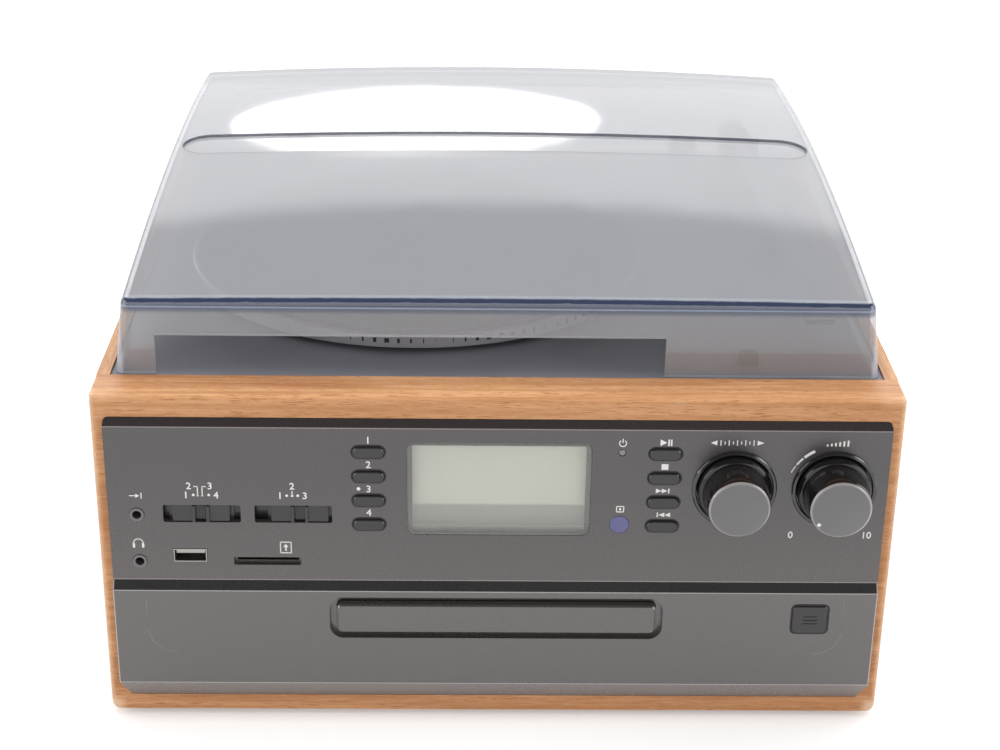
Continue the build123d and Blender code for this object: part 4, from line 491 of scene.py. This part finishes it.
def slot_finishes(part):
    """Each material slot of the part, with its finish."""
    steel = srgb(190, 190, 192)
    return {
        "wood_veneer": wood_finish("wood_veneer", part, True),
        "wood_board": veneer("wood_board", srgb(206, 152, 104), srgb(172, 116, 70),
                             srgb(214, 170, 130), True),
        "foot_rubber": moulded("foot_rubber", srgb(34, 34, 34), 0.75, 0.05),
        "screw_steel": metal("screw_steel", steel, 0.35),
        "panel_black": panel_finish("panel_black", opaque(part.panel), opaque(part.panel_low),
                                    srgb(158, 148, 146), 1.82),
        "clear_window": window("clear_window", srgb(235, 238, 230), 0.16),
        "display_grey": display("display_grey", opaque(part.display), srgb(128, 124, 121)),
        "ir_blue": moulded("ir_blue", srgb(74, 74, 128), 0.14, 0.004, gloss=1.7),
        "lamp_lens": moulded("lamp_lens", srgb(120, 112, 110), 0.15, 0.004, coat=0.6),
        "socket_steel": metal("socket_steel", srgb(170, 168, 164), 0.38),
        "jack_black": moulded("jack_black", srgb(74, 70, 70), 0.2, 0.008, gloss=1.9),
        "bezel_black": moulded("bezel_black", srgb(24, 22, 22), 0.12, 0.004, gloss=1.7),
        "control_steel": metal("control_steel", steel, 0.4),
        "circuit_board": circuit("circuit_board", srgb(36, 92, 50), srgb(70, 120, 64)),
        "button_black": moulded("button_black", srgb(38, 35, 35), 0.22, 0.01, gloss=1.55),
        "tray_black": moulded("tray_black", opaque(part.tray), 0.5, 0.02),
        "chassis_steel": metal("chassis_steel", srgb(176, 178, 182), 0.42),
        "deck_grey": moulded("deck_grey", opaque(part.deck), 0.46, 0.04, 1500.0),
        "platter_aluminium": turned_metal("platter_aluminium", srgb(196, 196, 200), 0.3, 0.8 * MM),
        "mat_rubber": ribbed_mat("mat_rubber", srgb(38, 38, 40)),
        "spindle_chrome": turned_metal("spindle_chrome", srgb(225, 225, 228), 0.1, 0.3 * MM),
        "motor_steel": metal("motor_steel", srgb(186, 184, 176), 0.36),
        "pulley_brass": metal("pulley_brass", srgb(206, 172, 98), 0.28),
        "belt_rubber": moulded("belt_rubber", srgb(24, 24, 24), 0.6, 0.01),
        "arm_black": moulded("arm_black", srgb(34, 34, 35), 0.38, 0.015),
        "arm_silver": metal("arm_silver", srgb(150, 151, 156), 0.3, (900.0, 40.0, 900.0), 0.06),
        "cartridge_black": moulded("cartridge_black", srgb(28, 28, 28), 0.34, 0.01),
        "smoky_lid": smoky("smoky_lid", opaque(part.lid), opaque(part.lid_edge)),
        "hinge_black": moulded("hinge_black", srgb(32, 32, 32), 0.42, 0.02),
        "speaker_black": moulded("speaker_black", srgb(34, 33, 32), 0.7, 0.06, 1200.0),
        "grille_black": moulded("grille_black", srgb(40, 39, 38), 0.5, 0.03),
        "transformer_steel": wound("transformer_steel", srgb(92, 86, 82), srgb(190, 160, 70)),
        "terminal_black": moulded("terminal_black", srgb(34, 34, 34), 0.45, 0.03),
        "knob_black": knob_finish("knob_black", srgb(20, 18, 18), opaque(part.knob_face)),
        "shaft_steel": metal("shaft_steel", steel, 0.3),
    }


# ------------------------------------------------------------------ building pieces
def piece(name, mesh, material, body):
    """Object of a finished mesh that rides on one body of the part."""
    made = bpy.data.objects.new(name, mesh)
    bpy.context.scene.collection.objects.link(made)
    mesh.materials.clear()
    mesh.materials.append(bpy.data.materials[material])
    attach(made, body)
    return made


def lathe(name, profile, centre, steps=112):
    """Closed piece turned round a line along Y, from pairs of radius and place in mm."""
    made = bmesh.new()
    rows = []
    for radius, place in profile:
        if radius == 0:
            rows.append([made.verts.new((centre.x, place * MM, centre.z))] * steps)
            continue
        row = []
        for step in range(steps):
            turn = 2 * math.pi * step / steps
            across, up = radius * MM * math.cos(turn), radius * MM * math.sin(turn)
            row.append(made.verts.new((centre.x + across, place * MM, centre.z + up)))
        rows.append(row)
    for first, second in zip(rows, rows[1:] + rows[:1]):
        for step in range(steps):
            following = (step + 1) % steps
            corners = [first[step], first[following], second[following], second[step]]
            corners = [corner for index, corner in enumerate(corners) if corner not in corners[:index]]
            if len(corners) > 2:
                made.faces.new(corners)
    return closed_mesh(name, made)


def closed_mesh(name, made, smooth_angle=35):
    """Mesh of a bmesh, with its faces turned outwards and its soft edges smooth."""
    bmesh.ops.remove_doubles(made, verts=made.verts, dist=1e-7)
    bmesh.ops.recalc_face_normals(made, faces=made.faces)
    for face in made.faces:
        face.smooth = True
    for edge in made.edges:
        if len(edge.link_faces) == 2 and edge.calc_face_angle(0) > math.radians(smooth_angle):
            edge.smooth = False
    mesh = bpy.data.meshes.new(name)
    made.to_mesh(mesh)
    made.free()
    return mesh


def add_prism(made, outline, front, back):
    """Adds a flat shape on an upright face: its outline is (x, z) in mm, its depths are in metres."""
    near = [made.verts.new((x * MM, front, z * MM)) for x, z in outline]
    far = [made.verts.new((x * MM, back, z * MM)) for x, z in outline]
    made.faces.new(near)
    made.faces.new(list(reversed(far)))
    for index in range(len(outline)):
        following = (index + 1) % len(outline)
        made.faces.new((near[index], far[index], far[following], near[following]))


def round_points(x, z, radius, turns):
    return [(x + radius * math.cos(turn), z + radius * math.sin(turn)) for turn in turns]


def disc(x, z, radius, steps=20):
    return round_points(x, z, radius, [2 * math.pi * step / steps for step in range(steps)])


def bar(x, z, width, height):
    return [(x - width / 2, z - height / 2), (x + width / 2, z - height / 2),
            (x + width / 2, z + height / 2), (x - width / 2, z + height / 2)]


def rounded(x, z, width, height, radius, steps=8):
    """Outline of a rounded rectangle, anticlockwise from its right side."""
    points = []
    for quarter, (side, end) in enumerate(((1, 1), (-1, 1), (-1, -1), (1, -1))):
        centre_x, centre_z = x + side * (width / 2 - radius), z + end * (height / 2 - radius)
        turns = [math.pi / 2 * (quarter + step / steps) for step in range(steps + 1)]
        points += round_points(centre_x, centre_z, radius, turns)
    return points


def add_ring(made, inner, outer, front, back):
    """Adds a flat ring between two outlines with the same number of points."""
    rows = [[made.verts.new((x * MM, depth, z * MM)) for x, z in outline]
            for outline, depth in ((inner, front), (outer, front), (outer, back), (inner, back))]
    count = len(inner)
    for row, following_row in zip(rows, rows[1:] + rows[:1]):
        for index in range(count):
            following = (index + 1) % count
            made.faces.new((row[index], row[following], following_row[following], following_row[index]))


def pointer(x, z, length, height):
    """Triangle that points to the right, or to the left when its length is negative."""
    return [(x - length / 2, z - height / 2), (x + length / 2, z), (x - length / 2, z + height / 2)]


def arc(x, z, radius, start, end, width, steps=16):
    """Band along an arc, in degrees."""
    turns = [math.radians(start + (end - start) * step / steps) for step in range(steps + 1)]
    outer = round_points(x, z, radius + width / 2, turns)
    inner = round_points(x, z, radius - width / 2, turns)
    return outer + inner[::-1]


def limits(values):
    values = list(values)
    return min(values), max(values)


def add_number(made, text, x, z, height, front):
    """Adds plain figures, centred on a place of the panel's face in mm, with their height in metres."""
    size_per_height = 1.42
    curve = bpy.data.curves.new("figures", "FONT")
    curve.body = text
    curve.size = height * size_per_height
    curve.align_x, curve.align_y = "CENTER", "CENTER"
    curve.resolution_u = 4
    curve.extrude = 0.03 * MM
    curve.offset = 0.05 * MM
    holder = bpy.data.objects.new("figures", curve)
    mesh = bpy.data.meshes.new_from_object(holder)
    middle_x = sum(limits(vertex.co.x for vertex in mesh.vertices)) / 2
    middle_y = sum(limits(vertex.co.y for vertex in mesh.vertices)) / 2
    for vertex in mesh.vertices:
        vertex.co = Vector((vertex.co.x - middle_x + x * MM, front - vertex.co.z,
                            vertex.co.y - middle_y + z * MM))
    made.from_mesh(mesh)
    bpy.data.objects.remove(holder)
    bpy.data.curves.remove(curve)
    bpy.data.meshes.remove(mesh)


# ------------------------------------------------------------------ settings
def colour_setting(name, description, red, green, blue):
    """A colour that a user may change, with its default as a screen shows it."""
    return FloatVectorProperty(name=name, description=description, subtype="COLOR", size=3, min=0, max=1,
                               default=srgb(red, green, blue)[:3])


def power_setting(name, description, watts):
    return FloatProperty(name=name, description=description, default=watts, min=0, unit="POWER")


class PartSettings(bpy.types.PropertyGroup):
    wood: colour_setting("Wood", "Light stripes of the veneer", 222, 168, 120)
    wood_stripe: colour_setting("Wood stripe", "Dark stripes of the veneer", 176, 118, 72)
    # The wood edge colour is the pale tone of the painted highlights and the painted sheen on the veneer
    wood_edge: colour_setting("Wood edge", "Veneer where it is rubbed or shines", 240, 208, 178)
    panel: colour_setting("Control panel", "Top of the control panel", 44, 37, 38)
    panel_low: colour_setting("Control panel foot", "Foot of the control panel", 98, 88, 87)
    disc_panel: colour_setting("Disc panel", "Top of the disc panel", 52, 46, 45)
    knob_face: colour_setting("Knob face", "Faces of the two knobs", 34, 29, 29)
    display: colour_setting("Display", "Field of the unlit display", 197, 196, 183)
    lid: colour_setting("Lid", "Smoky plastic seen through its face", 168, 169, 174)
    lid_edge: colour_setting("Lid edge", "Smoky plastic seen edge on", 50, 59, 84)
    deck: colour_setting("Deck", "Plate under the platter", 118, 119, 127)
    tray: colour_setting("Tray", "Black plastic of the disc tray", 30, 29, 30)
    ink: colour_setting("Ink", "Printed marks on the control panel", 238, 236, 234)
    figure_height: FloatProperty(name="Figure height", description="Height of the printed figures",
                                 default=2.9 * MM, min=MM, unit="LENGTH")
    speed_dots: IntProperty(name="Speed dots", description="Dots round the platter's rim", default=120, min=3)
    mat_ribs: IntProperty(name="Mat ribs", description="Ribs of the platter mat", default=180, min=3)


class StudioSettings(bpy.types.PropertyGroup):
    lens: FloatProperty(name="Lens", description="Camera's focal length", default=71.43, min=20, max=200)
    key_light: power_setting("Key light", "Power of the large overhead panel", 14.0)
    fill_light: power_setting("Fill light", "Power of the front panel", 3.5)
    back_light: power_setting("Back light", "Power of the panel behind", 8.0)
    strip_light: power_setting("Side strips", "Power of each narrow side light", 2.4)
    round_light: power_setting("Round light", "Power of the round light that the lid mirrors", 2.3)
    floor_colour: FloatVectorProperty(name="Floor", description="Colour of the floor", subtype="COLOR",
                                      size=3, default=(0.86, 0.86, 0.86), min=0, max=1)
    floor_glow: FloatProperty(name="Floor glow", description="How much the seen floor is lifted to white",
                              default=0.3, min=0, max=1)


# ------------------------------------------------------------------ operators
class MUSIC_OT_finishes(bpy.types.Operator):
    """Gives every piece of the part the finish of its material slot"""
    bl_idname = "music.finishes"
    bl_label = "Finishes"

    def execute(self, context):
        part = context.scene.music_part
        finishes = slot_finishes(part)
        side = wood_finish("side_veneer", part, False)
        disc_black = panel_finish("disc_panel_black", opaque(part.disc_panel), srgb(62, 55, 53),
                                  srgb(196, 190, 188), 2.0)
        own = {"side_board_left": side, "side_board_right": side,
               "cd_panel": disc_black, "cd_door": disc_black}
        for row in frame["record"]["subparts"]:
            mesh = frame["nodes"][row["node"]].data
            mesh.materials.clear()
            mesh.materials.append(own.get(row["node"], finishes[row["material_slot"]]))
        return {"FINISHED"}


class MUSIC_OT_marks(bpy.types.Operator):
    """Prints the plain figures, dots, bars and arrows on the control panel"""
    bl_idname = "music.marks"
    bl_label = "Printed marks"

    def execute(self, context):
        part = context.scene.music_part
        printed("print_white", opaque(part.ink))
        made = bmesh.new()
        front, back = PANEL_FACE - 0.05 * MM, PANEL_FACE + 0.05 * MM
        for outline in self.transport() + self.knobs() + self.switches() + self.sockets():
            add_prism(made, outline, front, back)
        rows = [(str(row + 1), FIGURES_X, z) for row, z in enumerate(FIGURE_ROWS)]
        for figure, x, z in rows + FUNCTION_FIGURES + BAND_FIGURES + VOLUME_FIGURES:
            add_number(made, figure, x, z, part.figure_height, front)
        piece("panel_marks", closed_mesh("panel_marks", made), "print_white", "cabinet")
        return {"FINISHED"}

    def transport(self):
        """Play and pause, stop, skip forwards and skip back over the right buttons, and the record dot."""
        x = SIGNS_X
        play, stop, forward, back = SIGN_ROWS
        shapes = [pointer(x - 0.9, play, 2.6, 2.8), bar(x + 1.1, play, 0.6, 2.8),
                  bar(x + 2.1, play, 0.6, 2.8), bar(x, stop, 2.7, 2.5)]
        for way, z in ((1, forward), (-1, back)):
            shapes += [pointer(x - way * 1.9, z, way * 2.3, 2.0), pointer(x + way * 0.4, z, way * 2.3, 2.0)]
            shapes.append(bar(x + way * 2.0, z, 0.5, 2.0))
        return shapes + [disc(*RECORD_DOT)]

    def knobs(self):
        """Tuning arrows and scale, volume steps and arc."""
        x, z = TUNING_CENTRE.x / MM, LABEL_ROW
        shapes = [pointer(x - 9.1, z, -2.6, 2.1), pointer(x + 9.1, z, 2.6, 2.1)]
        for step in range(-4, 5):
            shapes.append(bar(x + step * 1.6, z, LINE, 2.4 if step % 2 == 0 else 1.3))
        x, middle = VOLUME_CENTRE.x / MM, VOLUME_CENTRE.z / MM
        for step in range(6):
            height = 0.8 + 0.35 * step
            shapes.append(bar(x - 4.0 + step * 1.6, z - 1.2 + height / 2, 0.7, height))
        arc_radius = 18.7
        for start, end, width in ((157, 147, 0.4), (145, 134, 0.7), (132, 117.5, 1.1)):
            shapes.append(arc(x, middle, arc_radius, start, end, width))
        return shapes

    def switches(self):
        """Dots and lines from each switch position to its figure."""
        shapes = [disc(x, 103.9, DOT) for x in (-118.7, -112.7)]
        for x, way in ((-117.0, -1), (-115.2, 1)):
            shapes += [bar(x, 105.6, LINE, 4.4), bar(x + way * 0.7, 107.6, 1.6, LINE),
                       bar(x, 103.5, 0.9, LINE)]
        shapes += [disc(x, 103.8, DOT) for x in (-82.4, -78.1, -80.3)]
        return shapes + [bar(-80.3, 104.9, LINE, 2.0)]

    def sockets(self):
        """Plain signs at the lamp, the remote window, the jacks and the card slot."""
        x, z = LAMP_SIGN
        shapes = [arc(x, z, 1.35, 125, 415, LINE, 24), bar(x, z + 1.1, LINE, 1.7)]
        x, z = REMOTE_SIGN
        shapes += [bar(x, z + 1.2, 2.8, LINE), bar(x, z - 1.2, 2.8, LINE), bar(x - 1.4, z, LINE, 2.4),
                   bar(x + 1.4, z, LINE, 2.4), disc(x, z, 0.5)]
        x, z = HEADPHONE_SIGN
        shapes += [arc(x, z, 1.9, 0, 180, LINE, 20), bar(x - 1.8, z - 1.0, 0.9, 2.0),
                   bar(x + 1.8, z - 1.0, 0.9, 2.0)]
        x, z = INPUT_SIGN
        shapes += [bar(x - 1.4, z, 2.6, LINE), pointer(x + 0.5, z, 1.6, 1.8), bar(x + 2.0, z, LINE, 2.6)]
        x, z = CARD_SIGN
        shapes += [bar(x, z - 2.4, 4.4, LINE), bar(x, z + 2.4, 4.4, LINE), bar(x - 2.1, z, LINE, 4.8),
                   bar(x + 2.1, z, LINE, 4.8), bar(x, z - 0.6, 0.6, 1.8),
                   [(x - 1.1, z + 0.2), (x + 1.1, z + 0.2), (x, z + 1.6)]]
        return shapes


class MUSIC_OT_wells(bpy.types.Operator):
    """Adds a flat dark ring round each button as painted shade in the gap where it sits"""
    bl_idname = "music.wells"
    bl_label = "Button wells"

    def execute(self, context):
        # Painted shade: a flat, nearly black ring stands in for the shade in the gap round each button
        moulded("well_shade", srgb(16, 15, 15), 0.5, 0.005)
        made = bmesh.new()
        for row in frame["record"]["subparts"]:
            name = row["node"]
            if not name.endswith("_button"):
                continue
            low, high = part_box(name)
            x, z = (low.x + high.x) / 2 / MM, (low.z + high.z) / 2 / MM
            wide, tall, corner, face = 12.3, 4.8, 2.35, PANEL_FACE
            if name == "cd_open_button":
                flange = 0.8
                wide, tall = (high.x - low.x) / MM - 2 * flange, (high.z - low.z) / MM - 2 * flange
                corner, face = 1.8, DISC_FACE
            gap, half_thick = 0.3, 0.04 * MM
            inner = rounded(x, z, wide + gap, tall + gap, corner + gap / 2)
            outer = rounded(x, z + gap / 2, wide + 1.5, tall + 1.4, corner + 0.7)
            add_ring(made, inner, outer, face - half_thick, face + half_thick)
        piece("button_well_shade", closed_mesh("button_well_shade", made), "well_shade", "cabinet")
        return {"FINISHED"}


class MUSIC_OT_knobs(bpy.types.Operator):
    """Turns the two knobs with their skirts, chamfers and the volume knob's dot"""
    bl_idname = "music.knobs"
    bl_label = "Knobs"

    def execute(self, context):
        face, rear = KNOB_FACE / MM + 0.1, KNOB_REAR / MM
        chamfer = [(0, face), (11.0, face), (11.25, face + 0.14), (11.85, face + 0.6), (12.05, face + 1.0)]
        grip = [(12.3, face + 4), (12.8, face + 9), (12.95, rear - 4.9)]
        skirt = [(13.15, rear - 4.75), (13.6, rear - 4.55), (14.0, rear - 4.2), (14.3, rear - 3.7),
                 (14.45, rear - 3.1), (14.5, rear - 2.3), (14.5, rear - 0.15), (14.35, rear)]
        inside = [(12.2, rear), (11.5, rear - 4), (10.6, face + 3), (0, face + 3)]
        profile = chamfer + grip + skirt + inside
        for body, centre in (("tuning_knob", TUNING_CENTRE), ("volume_knob", VOLUME_CENTRE)):
            name = body + "_turned"
            made = piece(name, lathe(name, profile, centre), "knob_black", body)
            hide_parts(body)
        dot_place, dot_turn = 10.2, math.radians(217.5)
        x = VOLUME_CENTRE.x / MM + dot_place * math.cos(dot_turn)
        z = VOLUME_CENTRE.z / MM + dot_place * math.sin(dot_turn)
        dot = bmesh.new()
        add_prism(dot, disc(x, z, 0.75), KNOB_FACE + 0.04 * MM, KNOB_FACE + 0.2 * MM)
        piece("volume_dot", closed_mesh("volume_dot", dot), "print_white", "volume_knob")
        return {"FINISHED"}


class MUSIC_OT_switches(bpy.types.Operator):
    """Adds the shutter behind each slide cap and the ribs of its grip"""
    bl_idname = "music.switches"
    bl_label = "Slide switches"

    def execute(self, context):
        # Each shutter's depth behind the face, and its reach to the left and to the right,
        # which stays clear of the jacks and of the buttons
        shutters = {"function_switch": (4.2, 17.2, 19.2), "band_switch": (4.9, 19.2, 18.5)}
        for name, (depth, left, right) in shutters.items():
            low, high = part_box(name + "_cap")
            x, z = (low.x + high.x) / 2 / MM, (low.z + high.z) / 2 / MM
            front = PANEL_FACE + depth * MM
            made = bmesh.new()
            add_prism(made, bar(x + (right - left) / 2, z, left + right, 9.4), front, front + 0.5 * MM)
            self.add(name, "_shutter", made)
            made = bmesh.new()
            for step in (-1, 0, 1):
                rib = bar(x + step * 1.2, z, 0.5, 5.6)
                add_prism(made, rib, PANEL_FACE + 1.0 * MM, PANEL_FACE + 2.0 * MM)
            self.add(name, "_ribs", made)
        return {"FINISHED"}

    def add(self, body, ending, made):
        name = body + ending
        piece(name, closed_mesh(name, made), "button_black", body)


def repeat_tree(name, material):
    """Node tree that sets copies of one small block round a circle, each turned to face outwards."""
    tree = bpy.data.node_groups.new(name, "GeometryNodeTree")
    for label, kind in (("Count", "Int"), ("Radius", "Float"), ("Centre", "Vector"), ("Size", "Vector")):
        tree.interface.new_socket(label, in_out="INPUT", socket_type="NodeSocket" + kind)
    tree.interface.new_socket("Geometry", in_out="OUTPUT", socket_type="NodeSocketGeometry")

    def add(kind, settings=None, inputs=None):
        return add_node(tree, kind, settings, inputs)

    given = add("NodeGroupInput").outputs
    circle = add("GeometryNodeMeshCircle", None, {"Vertices": given["Count"], "Radius": given["Radius"]})
    index = add("GeometryNodeInputIndex")
    share = add("ShaderNodeMath", {"operation": "DIVIDE"}, {0: index.outputs[0], 1: given["Count"]})
    turn = add("ShaderNodeMath", {"operation": "MULTIPLY"}, {0: share.outputs[0], 1: 2 * math.pi})
    round_z = add("ShaderNodeCombineXYZ", None, {"Z": turn.outputs[0]})
    block = add("GeometryNodeMeshCube", None, {"Size": (1, 1, 1)})
    copies = add("GeometryNodeInstanceOnPoints", None,
                 {"Points": circle.outputs[0], "Instance": block.outputs["Mesh"],
                  "Rotation": round_z.outputs[0], "Scale": given["Size"]})
    moved = add("GeometryNodeTransform", None,
                {"Geometry": copies.outputs[0], "Translation": given["Centre"]})
    real = add("GeometryNodeRealizeInstances", None, {"Geometry": moved.outputs[0]})
    dressed = add("GeometryNodeSetMaterial", None,
                  {"Geometry": real.outputs[0], "Material": bpy.data.materials[material]})
    add("NodeGroupOutput", None, {"Geometry": dressed.outputs[0]})
    return tree


def repeated(name, tree, values):
    """Plain mesh of what a node tree makes from its named inputs."""
    holder = bpy.data.objects.new(name, bpy.data.meshes.new(name))
    bpy.context.scene.collection.objects.link(holder)
    modifier = holder.modifiers.new("repeat", "NODES")
    modifier.node_group = tree
    for socket in tree.interface.items_tree:
        if socket.in_out == "INPUT":
            modifier[socket.identifier] = values[socket.name]
    evaluated = holder.evaluated_get(bpy.context.evaluated_depsgraph_get())
    mesh = bpy.data.meshes.new_from_object(evaluated)
    holder.modifiers.remove(modifier)
    bpy.data.objects.remove(holder)
    return mesh


class MUSIC_OT_platter(bpy.types.Operator):
    """Adds the speed dots round the platter's rim and the raised ribs of its mat"""
    bl_idname = "music.platter"
    bl_label = "Platter details"

    def execute(self, context):
        part = context.scene.music_part
        printed("dot_black", srgb(26, 26, 28))
        middle = (PLATTER_LOW.z + PLATTER_HIGH.z) / 2
        rim = (PLATTER_HIGH.x - PLATTER_LOW.x) / 2
        mesh = repeated("platter_dots", repeat_tree("speed_dots", "dot_black"), {
            "Count": part.speed_dots, "Radius": rim - 0.05 * MM,
            "Centre": (PLATTER_CENTRE.x, PLATTER_CENTRE.y, middle),
            "Size": (0.08 * MM, 2.0 * MM, 2.0 * MM)})
        piece("platter_dots", mesh, "dot_black", "platter")
        low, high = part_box("platter_mat")
        reach = (high.x - low.x) / 2
        mesh = repeated("mat_ribs", repeat_tree("mat_ribs", "mat_rubber"), {
            "Count": part.mat_ribs, "Radius": reach * 0.8,
            "Centre": (PLATTER_CENTRE.x, PLATTER_CENTRE.y, high.z),
            "Size": (reach * 0.28, 0.7 * MM, 0.3 * MM)})
        piece("mat_ribs", mesh, "mat_rubber", "platter")
        return {"FINISHED"}


class MUSIC_OT_outline(bpy.types.Operator):
    """Scores the fine rounded line on the disc panel's face"""
    bl_idname = "music.outline"
    bl_label = "Scored line"

    def execute(self, context):
        printed("scored_line", srgb(134, 127, 124))
        made = bmesh.new()
        front, back = DISC_FACE - 0.03 * MM, DISC_FACE + 0.05 * MM
        low, high, half, radius, width = 34.0, 58.6, 139.2, 11.0, 0.3
        for side, start in ((-1, 180), (1, 270)):
            x = side * (half - radius)
            upright = bar(side * half, (low + radius + high) / 2, width, high - low - radius)
            add_prism(made, arc(x, low + radius, radius, start, start + 90, width, 24), front, back)
            add_prism(made, upright, front, back)
        piece("disc_panel_line", closed_mesh("disc_panel_line", made), "scored_line", "cabinet")
        return {"FINISHED"}


class MUSIC_OT_stage(bpy.types.Operator):
    """Adds the floor, the lamps, the world and the camera"""
    bl_idname = "music.stage"
    bl_label = "Stage"

    def execute(self, context):
        settings = context.scene.music_studio
        self.floor(settings)
        self.lamps(settings)
        self.world()
        self.camera(settings)
        context.scene.view_settings.view_transform = "Standard"
        return {"FINISHED"}

    def floor(self, settings):
        reach = 6.0
        mesh = bpy.data.meshes.new("floor")
        made = bmesh.new()
        bmesh.ops.create_grid(made, x_segments=1, y_segments=1, size=reach)
        made.to_mesh(mesh)
        made.free()
        finish = Finish("floor_paper")
        speck = finish.noise(finish.place, 6.0, 3.0)
        colour = finish.mix(speck * 0.3, opaque(settings.floor_colour), srgb(236, 236, 238))
        finish.wear(Base_Color=colour, Roughness=0.6)
        path = finish.node("ShaderNodeLightPath").outputs
        seen = Number(finish, path["Is Camera Ray"]).maths("MAXIMUM", path["Is Glossy Ray"])
        seen = seen.maths("MAXIMUM", path["Is Transmission Ray"])
        glow = finish.node("ShaderNodeEmission", None,
                           {"Color": (1, 1, 1, 1), "Strength": seen * settings.floor_glow})
        both = finish.node("ShaderNodeAddShader", None, {0: finish.shader.outputs[0], 1: glow.outputs[0]})
        finish.tree.links.new(both.outputs[0], finish.output.inputs["Surface"])
        mesh.materials.append(finish.material)
        floor = bpy.data.objects.new("floor", mesh)
        bpy.context.scene.collection.objects.link(floor)

    def lamp(self, name, place, target, size, power, mirrored=True, shape="RECTANGLE"):
        """Adds a flat lamp that faces a target; only a mirrored one shows in glossy surfaces."""
        light = bpy.data.lights.new(name, "AREA")
        light.shape = shape
        light.size, light.size_y = size
        light.energy = power
        made = bpy.data.objects.new(name, light)
        made.location = place
        made.rotation_euler = (Vector(target) - Vector(place)).to_track_quat("-Z", "Y").to_euler()
        made.visible_glossy = mirrored
        bpy.context.scene.collection.objects.link(made)

    def lamps(self, settings):
        self.lamp("overhead_panel", (0.1, 0.1, 1.5), (0, 0, 0.1), (1.4, 1.4), settings.key_light, False)
        self.lamp("front_panel", (-0.25, -1.6, 1.0), (0, 0, 0.1), (1.2, 0.8), settings.fill_light, False)
        self.lamp("back_panel", (0.0, 1.5, 0.75), (0, 0.1, 0.2), (2.4, 0.7), settings.back_light, False)
        for name, side in (("left_strip", -1), ("right_strip", 1)):
            self.lamp(name, (side * 1.2, -0.5, 0.65), (0, -0.15, 0.1), (0.2, 0.9), settings.strip_light)
        self.lamp("round_light", (-0.096, 1.85, 0.798), (0, 0.05, 0.19), (0.587, 0.487), settings.round_light,
                  shape="ELLIPSE")

    def world(self):
        """White where it is seen; mirrored, bright low down and dim overhead; else an even soft light."""
        world = bpy.data.worlds.new("studio")
        bpy.context.scene.world = world
        world.use_nodes = True
        tree = world.node_tree
        tree.nodes.clear()

        def add(kind, settings=None, inputs=None):
            return add_node(tree, kind, settings, inputs)

        low, high = 0.52, 0.565
        bright, dim, even = 1.6, 0.12, 0.68
        path = add("ShaderNodeLightPath").outputs
        place = add("ShaderNodeTexCoord").outputs["Generated"]
        height = add("ShaderNodeSeparateXYZ", None, {0: place}).outputs["Z"]
        sky = add("ShaderNodeMapRange", {"interpolation_type": "SMOOTHSTEP"},
                  {"Value": height, "From Min": low, "From Max": high, "To Min": bright, "To Max": dim})
        mirrored = add("ShaderNodeMix", {"data_type": "FLOAT"},
                       {0: path["Is Glossy Ray"], 2: even, 3: sky.outputs["Result"]})
        seen = add("ShaderNodeMath", {"operation": "MAXIMUM"},
                   {0: path["Is Camera Ray"], 1: path["Is Transmission Ray"]})
        strength = add("ShaderNodeMix", {"data_type": "FLOAT"},
                       {0: seen.outputs[0], 2: mirrored.outputs[0], 3: 1.0})
        back = add("ShaderNodeBackground", None, {"Strength": strength.outputs[0], "Color": (1, 1, 1, 1)})
        add("ShaderNodeOutputWorld", None, {"Surface": back.outputs[0]})

    def camera(self, settings):
        """The photograph's camera, from its place, yaw, pitch and roll."""
        yaw, pitch, roll = (math.radians(angle) for angle in (CAMERA_YAW, CAMERA_PITCH, CAMERA_ROLL))
        forward = Vector((math.sin(yaw) * math.cos(pitch), math.cos(yaw) * math.cos(pitch), -math.sin(pitch)))
        right = Vector((math.cos(yaw), -math.sin(yaw), 0))
        up = right.cross(forward)
        tilted = right * math.cos(roll) + up * math.sin(roll)
        upright = up * math.cos(roll) - right * math.sin(roll)
        camera = bpy.data.cameras.new("camera")
        camera.lens = settings.lens
        camera.sensor_width = 36
        made = bpy.data.objects.new("camera", camera)
        turn = Matrix((tilted, upright, -forward)).transposed().to_4x4()
        made.matrix_world = Matrix.Translation(CAMERA_PLACE) @ turn
        bpy.context.scene.collection.objects.link(made)
        bpy.context.scene.camera = made


class MUSIC_PT_panel(bpy.types.Panel):
    """Lists the steps that dress the music centre, and its settings"""
    bl_label = "Music centre"
    bl_idname = "MUSIC_PT_panel"
    bl_space_type = "VIEW_3D"
    bl_region_type = "UI"
    bl_category = "Music centre"

    def draw(self, context):
        for step in STEPS:
            self.layout.operator(step.bl_idname)
        for group in (context.scene.music_part, context.scene.music_studio):
            for name in type(group).__annotations__:
                self.layout.prop(group, name)


STEPS = (MUSIC_OT_finishes, MUSIC_OT_marks, MUSIC_OT_wells, MUSIC_OT_knobs, MUSIC_OT_switches,
         MUSIC_OT_platter, MUSIC_OT_outline, MUSIC_OT_stage)
CLASSES = (PartSettings, StudioSettings) + STEPS + (MUSIC_PT_panel,)


def register():
    for made in CLASSES:
        bpy.utils.register_class(made)
    bpy.types.Scene.music_part = PointerProperty(type=PartSettings)
    bpy.types.Scene.music_studio = PointerProperty(type=StudioSettings)


def unregister():
    del bpy.types.Scene.music_studio
    del bpy.types.Scene.music_part
    for made in reversed(CLASSES):
        bpy.utils.unregister_class(made)


def main():
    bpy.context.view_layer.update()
    register()
    for step in STEPS:
        group, name = step.bl_idname.split(".")
        getattr(getattr(bpy.ops, group), name)()


if __name__ == "__main__":
    main()
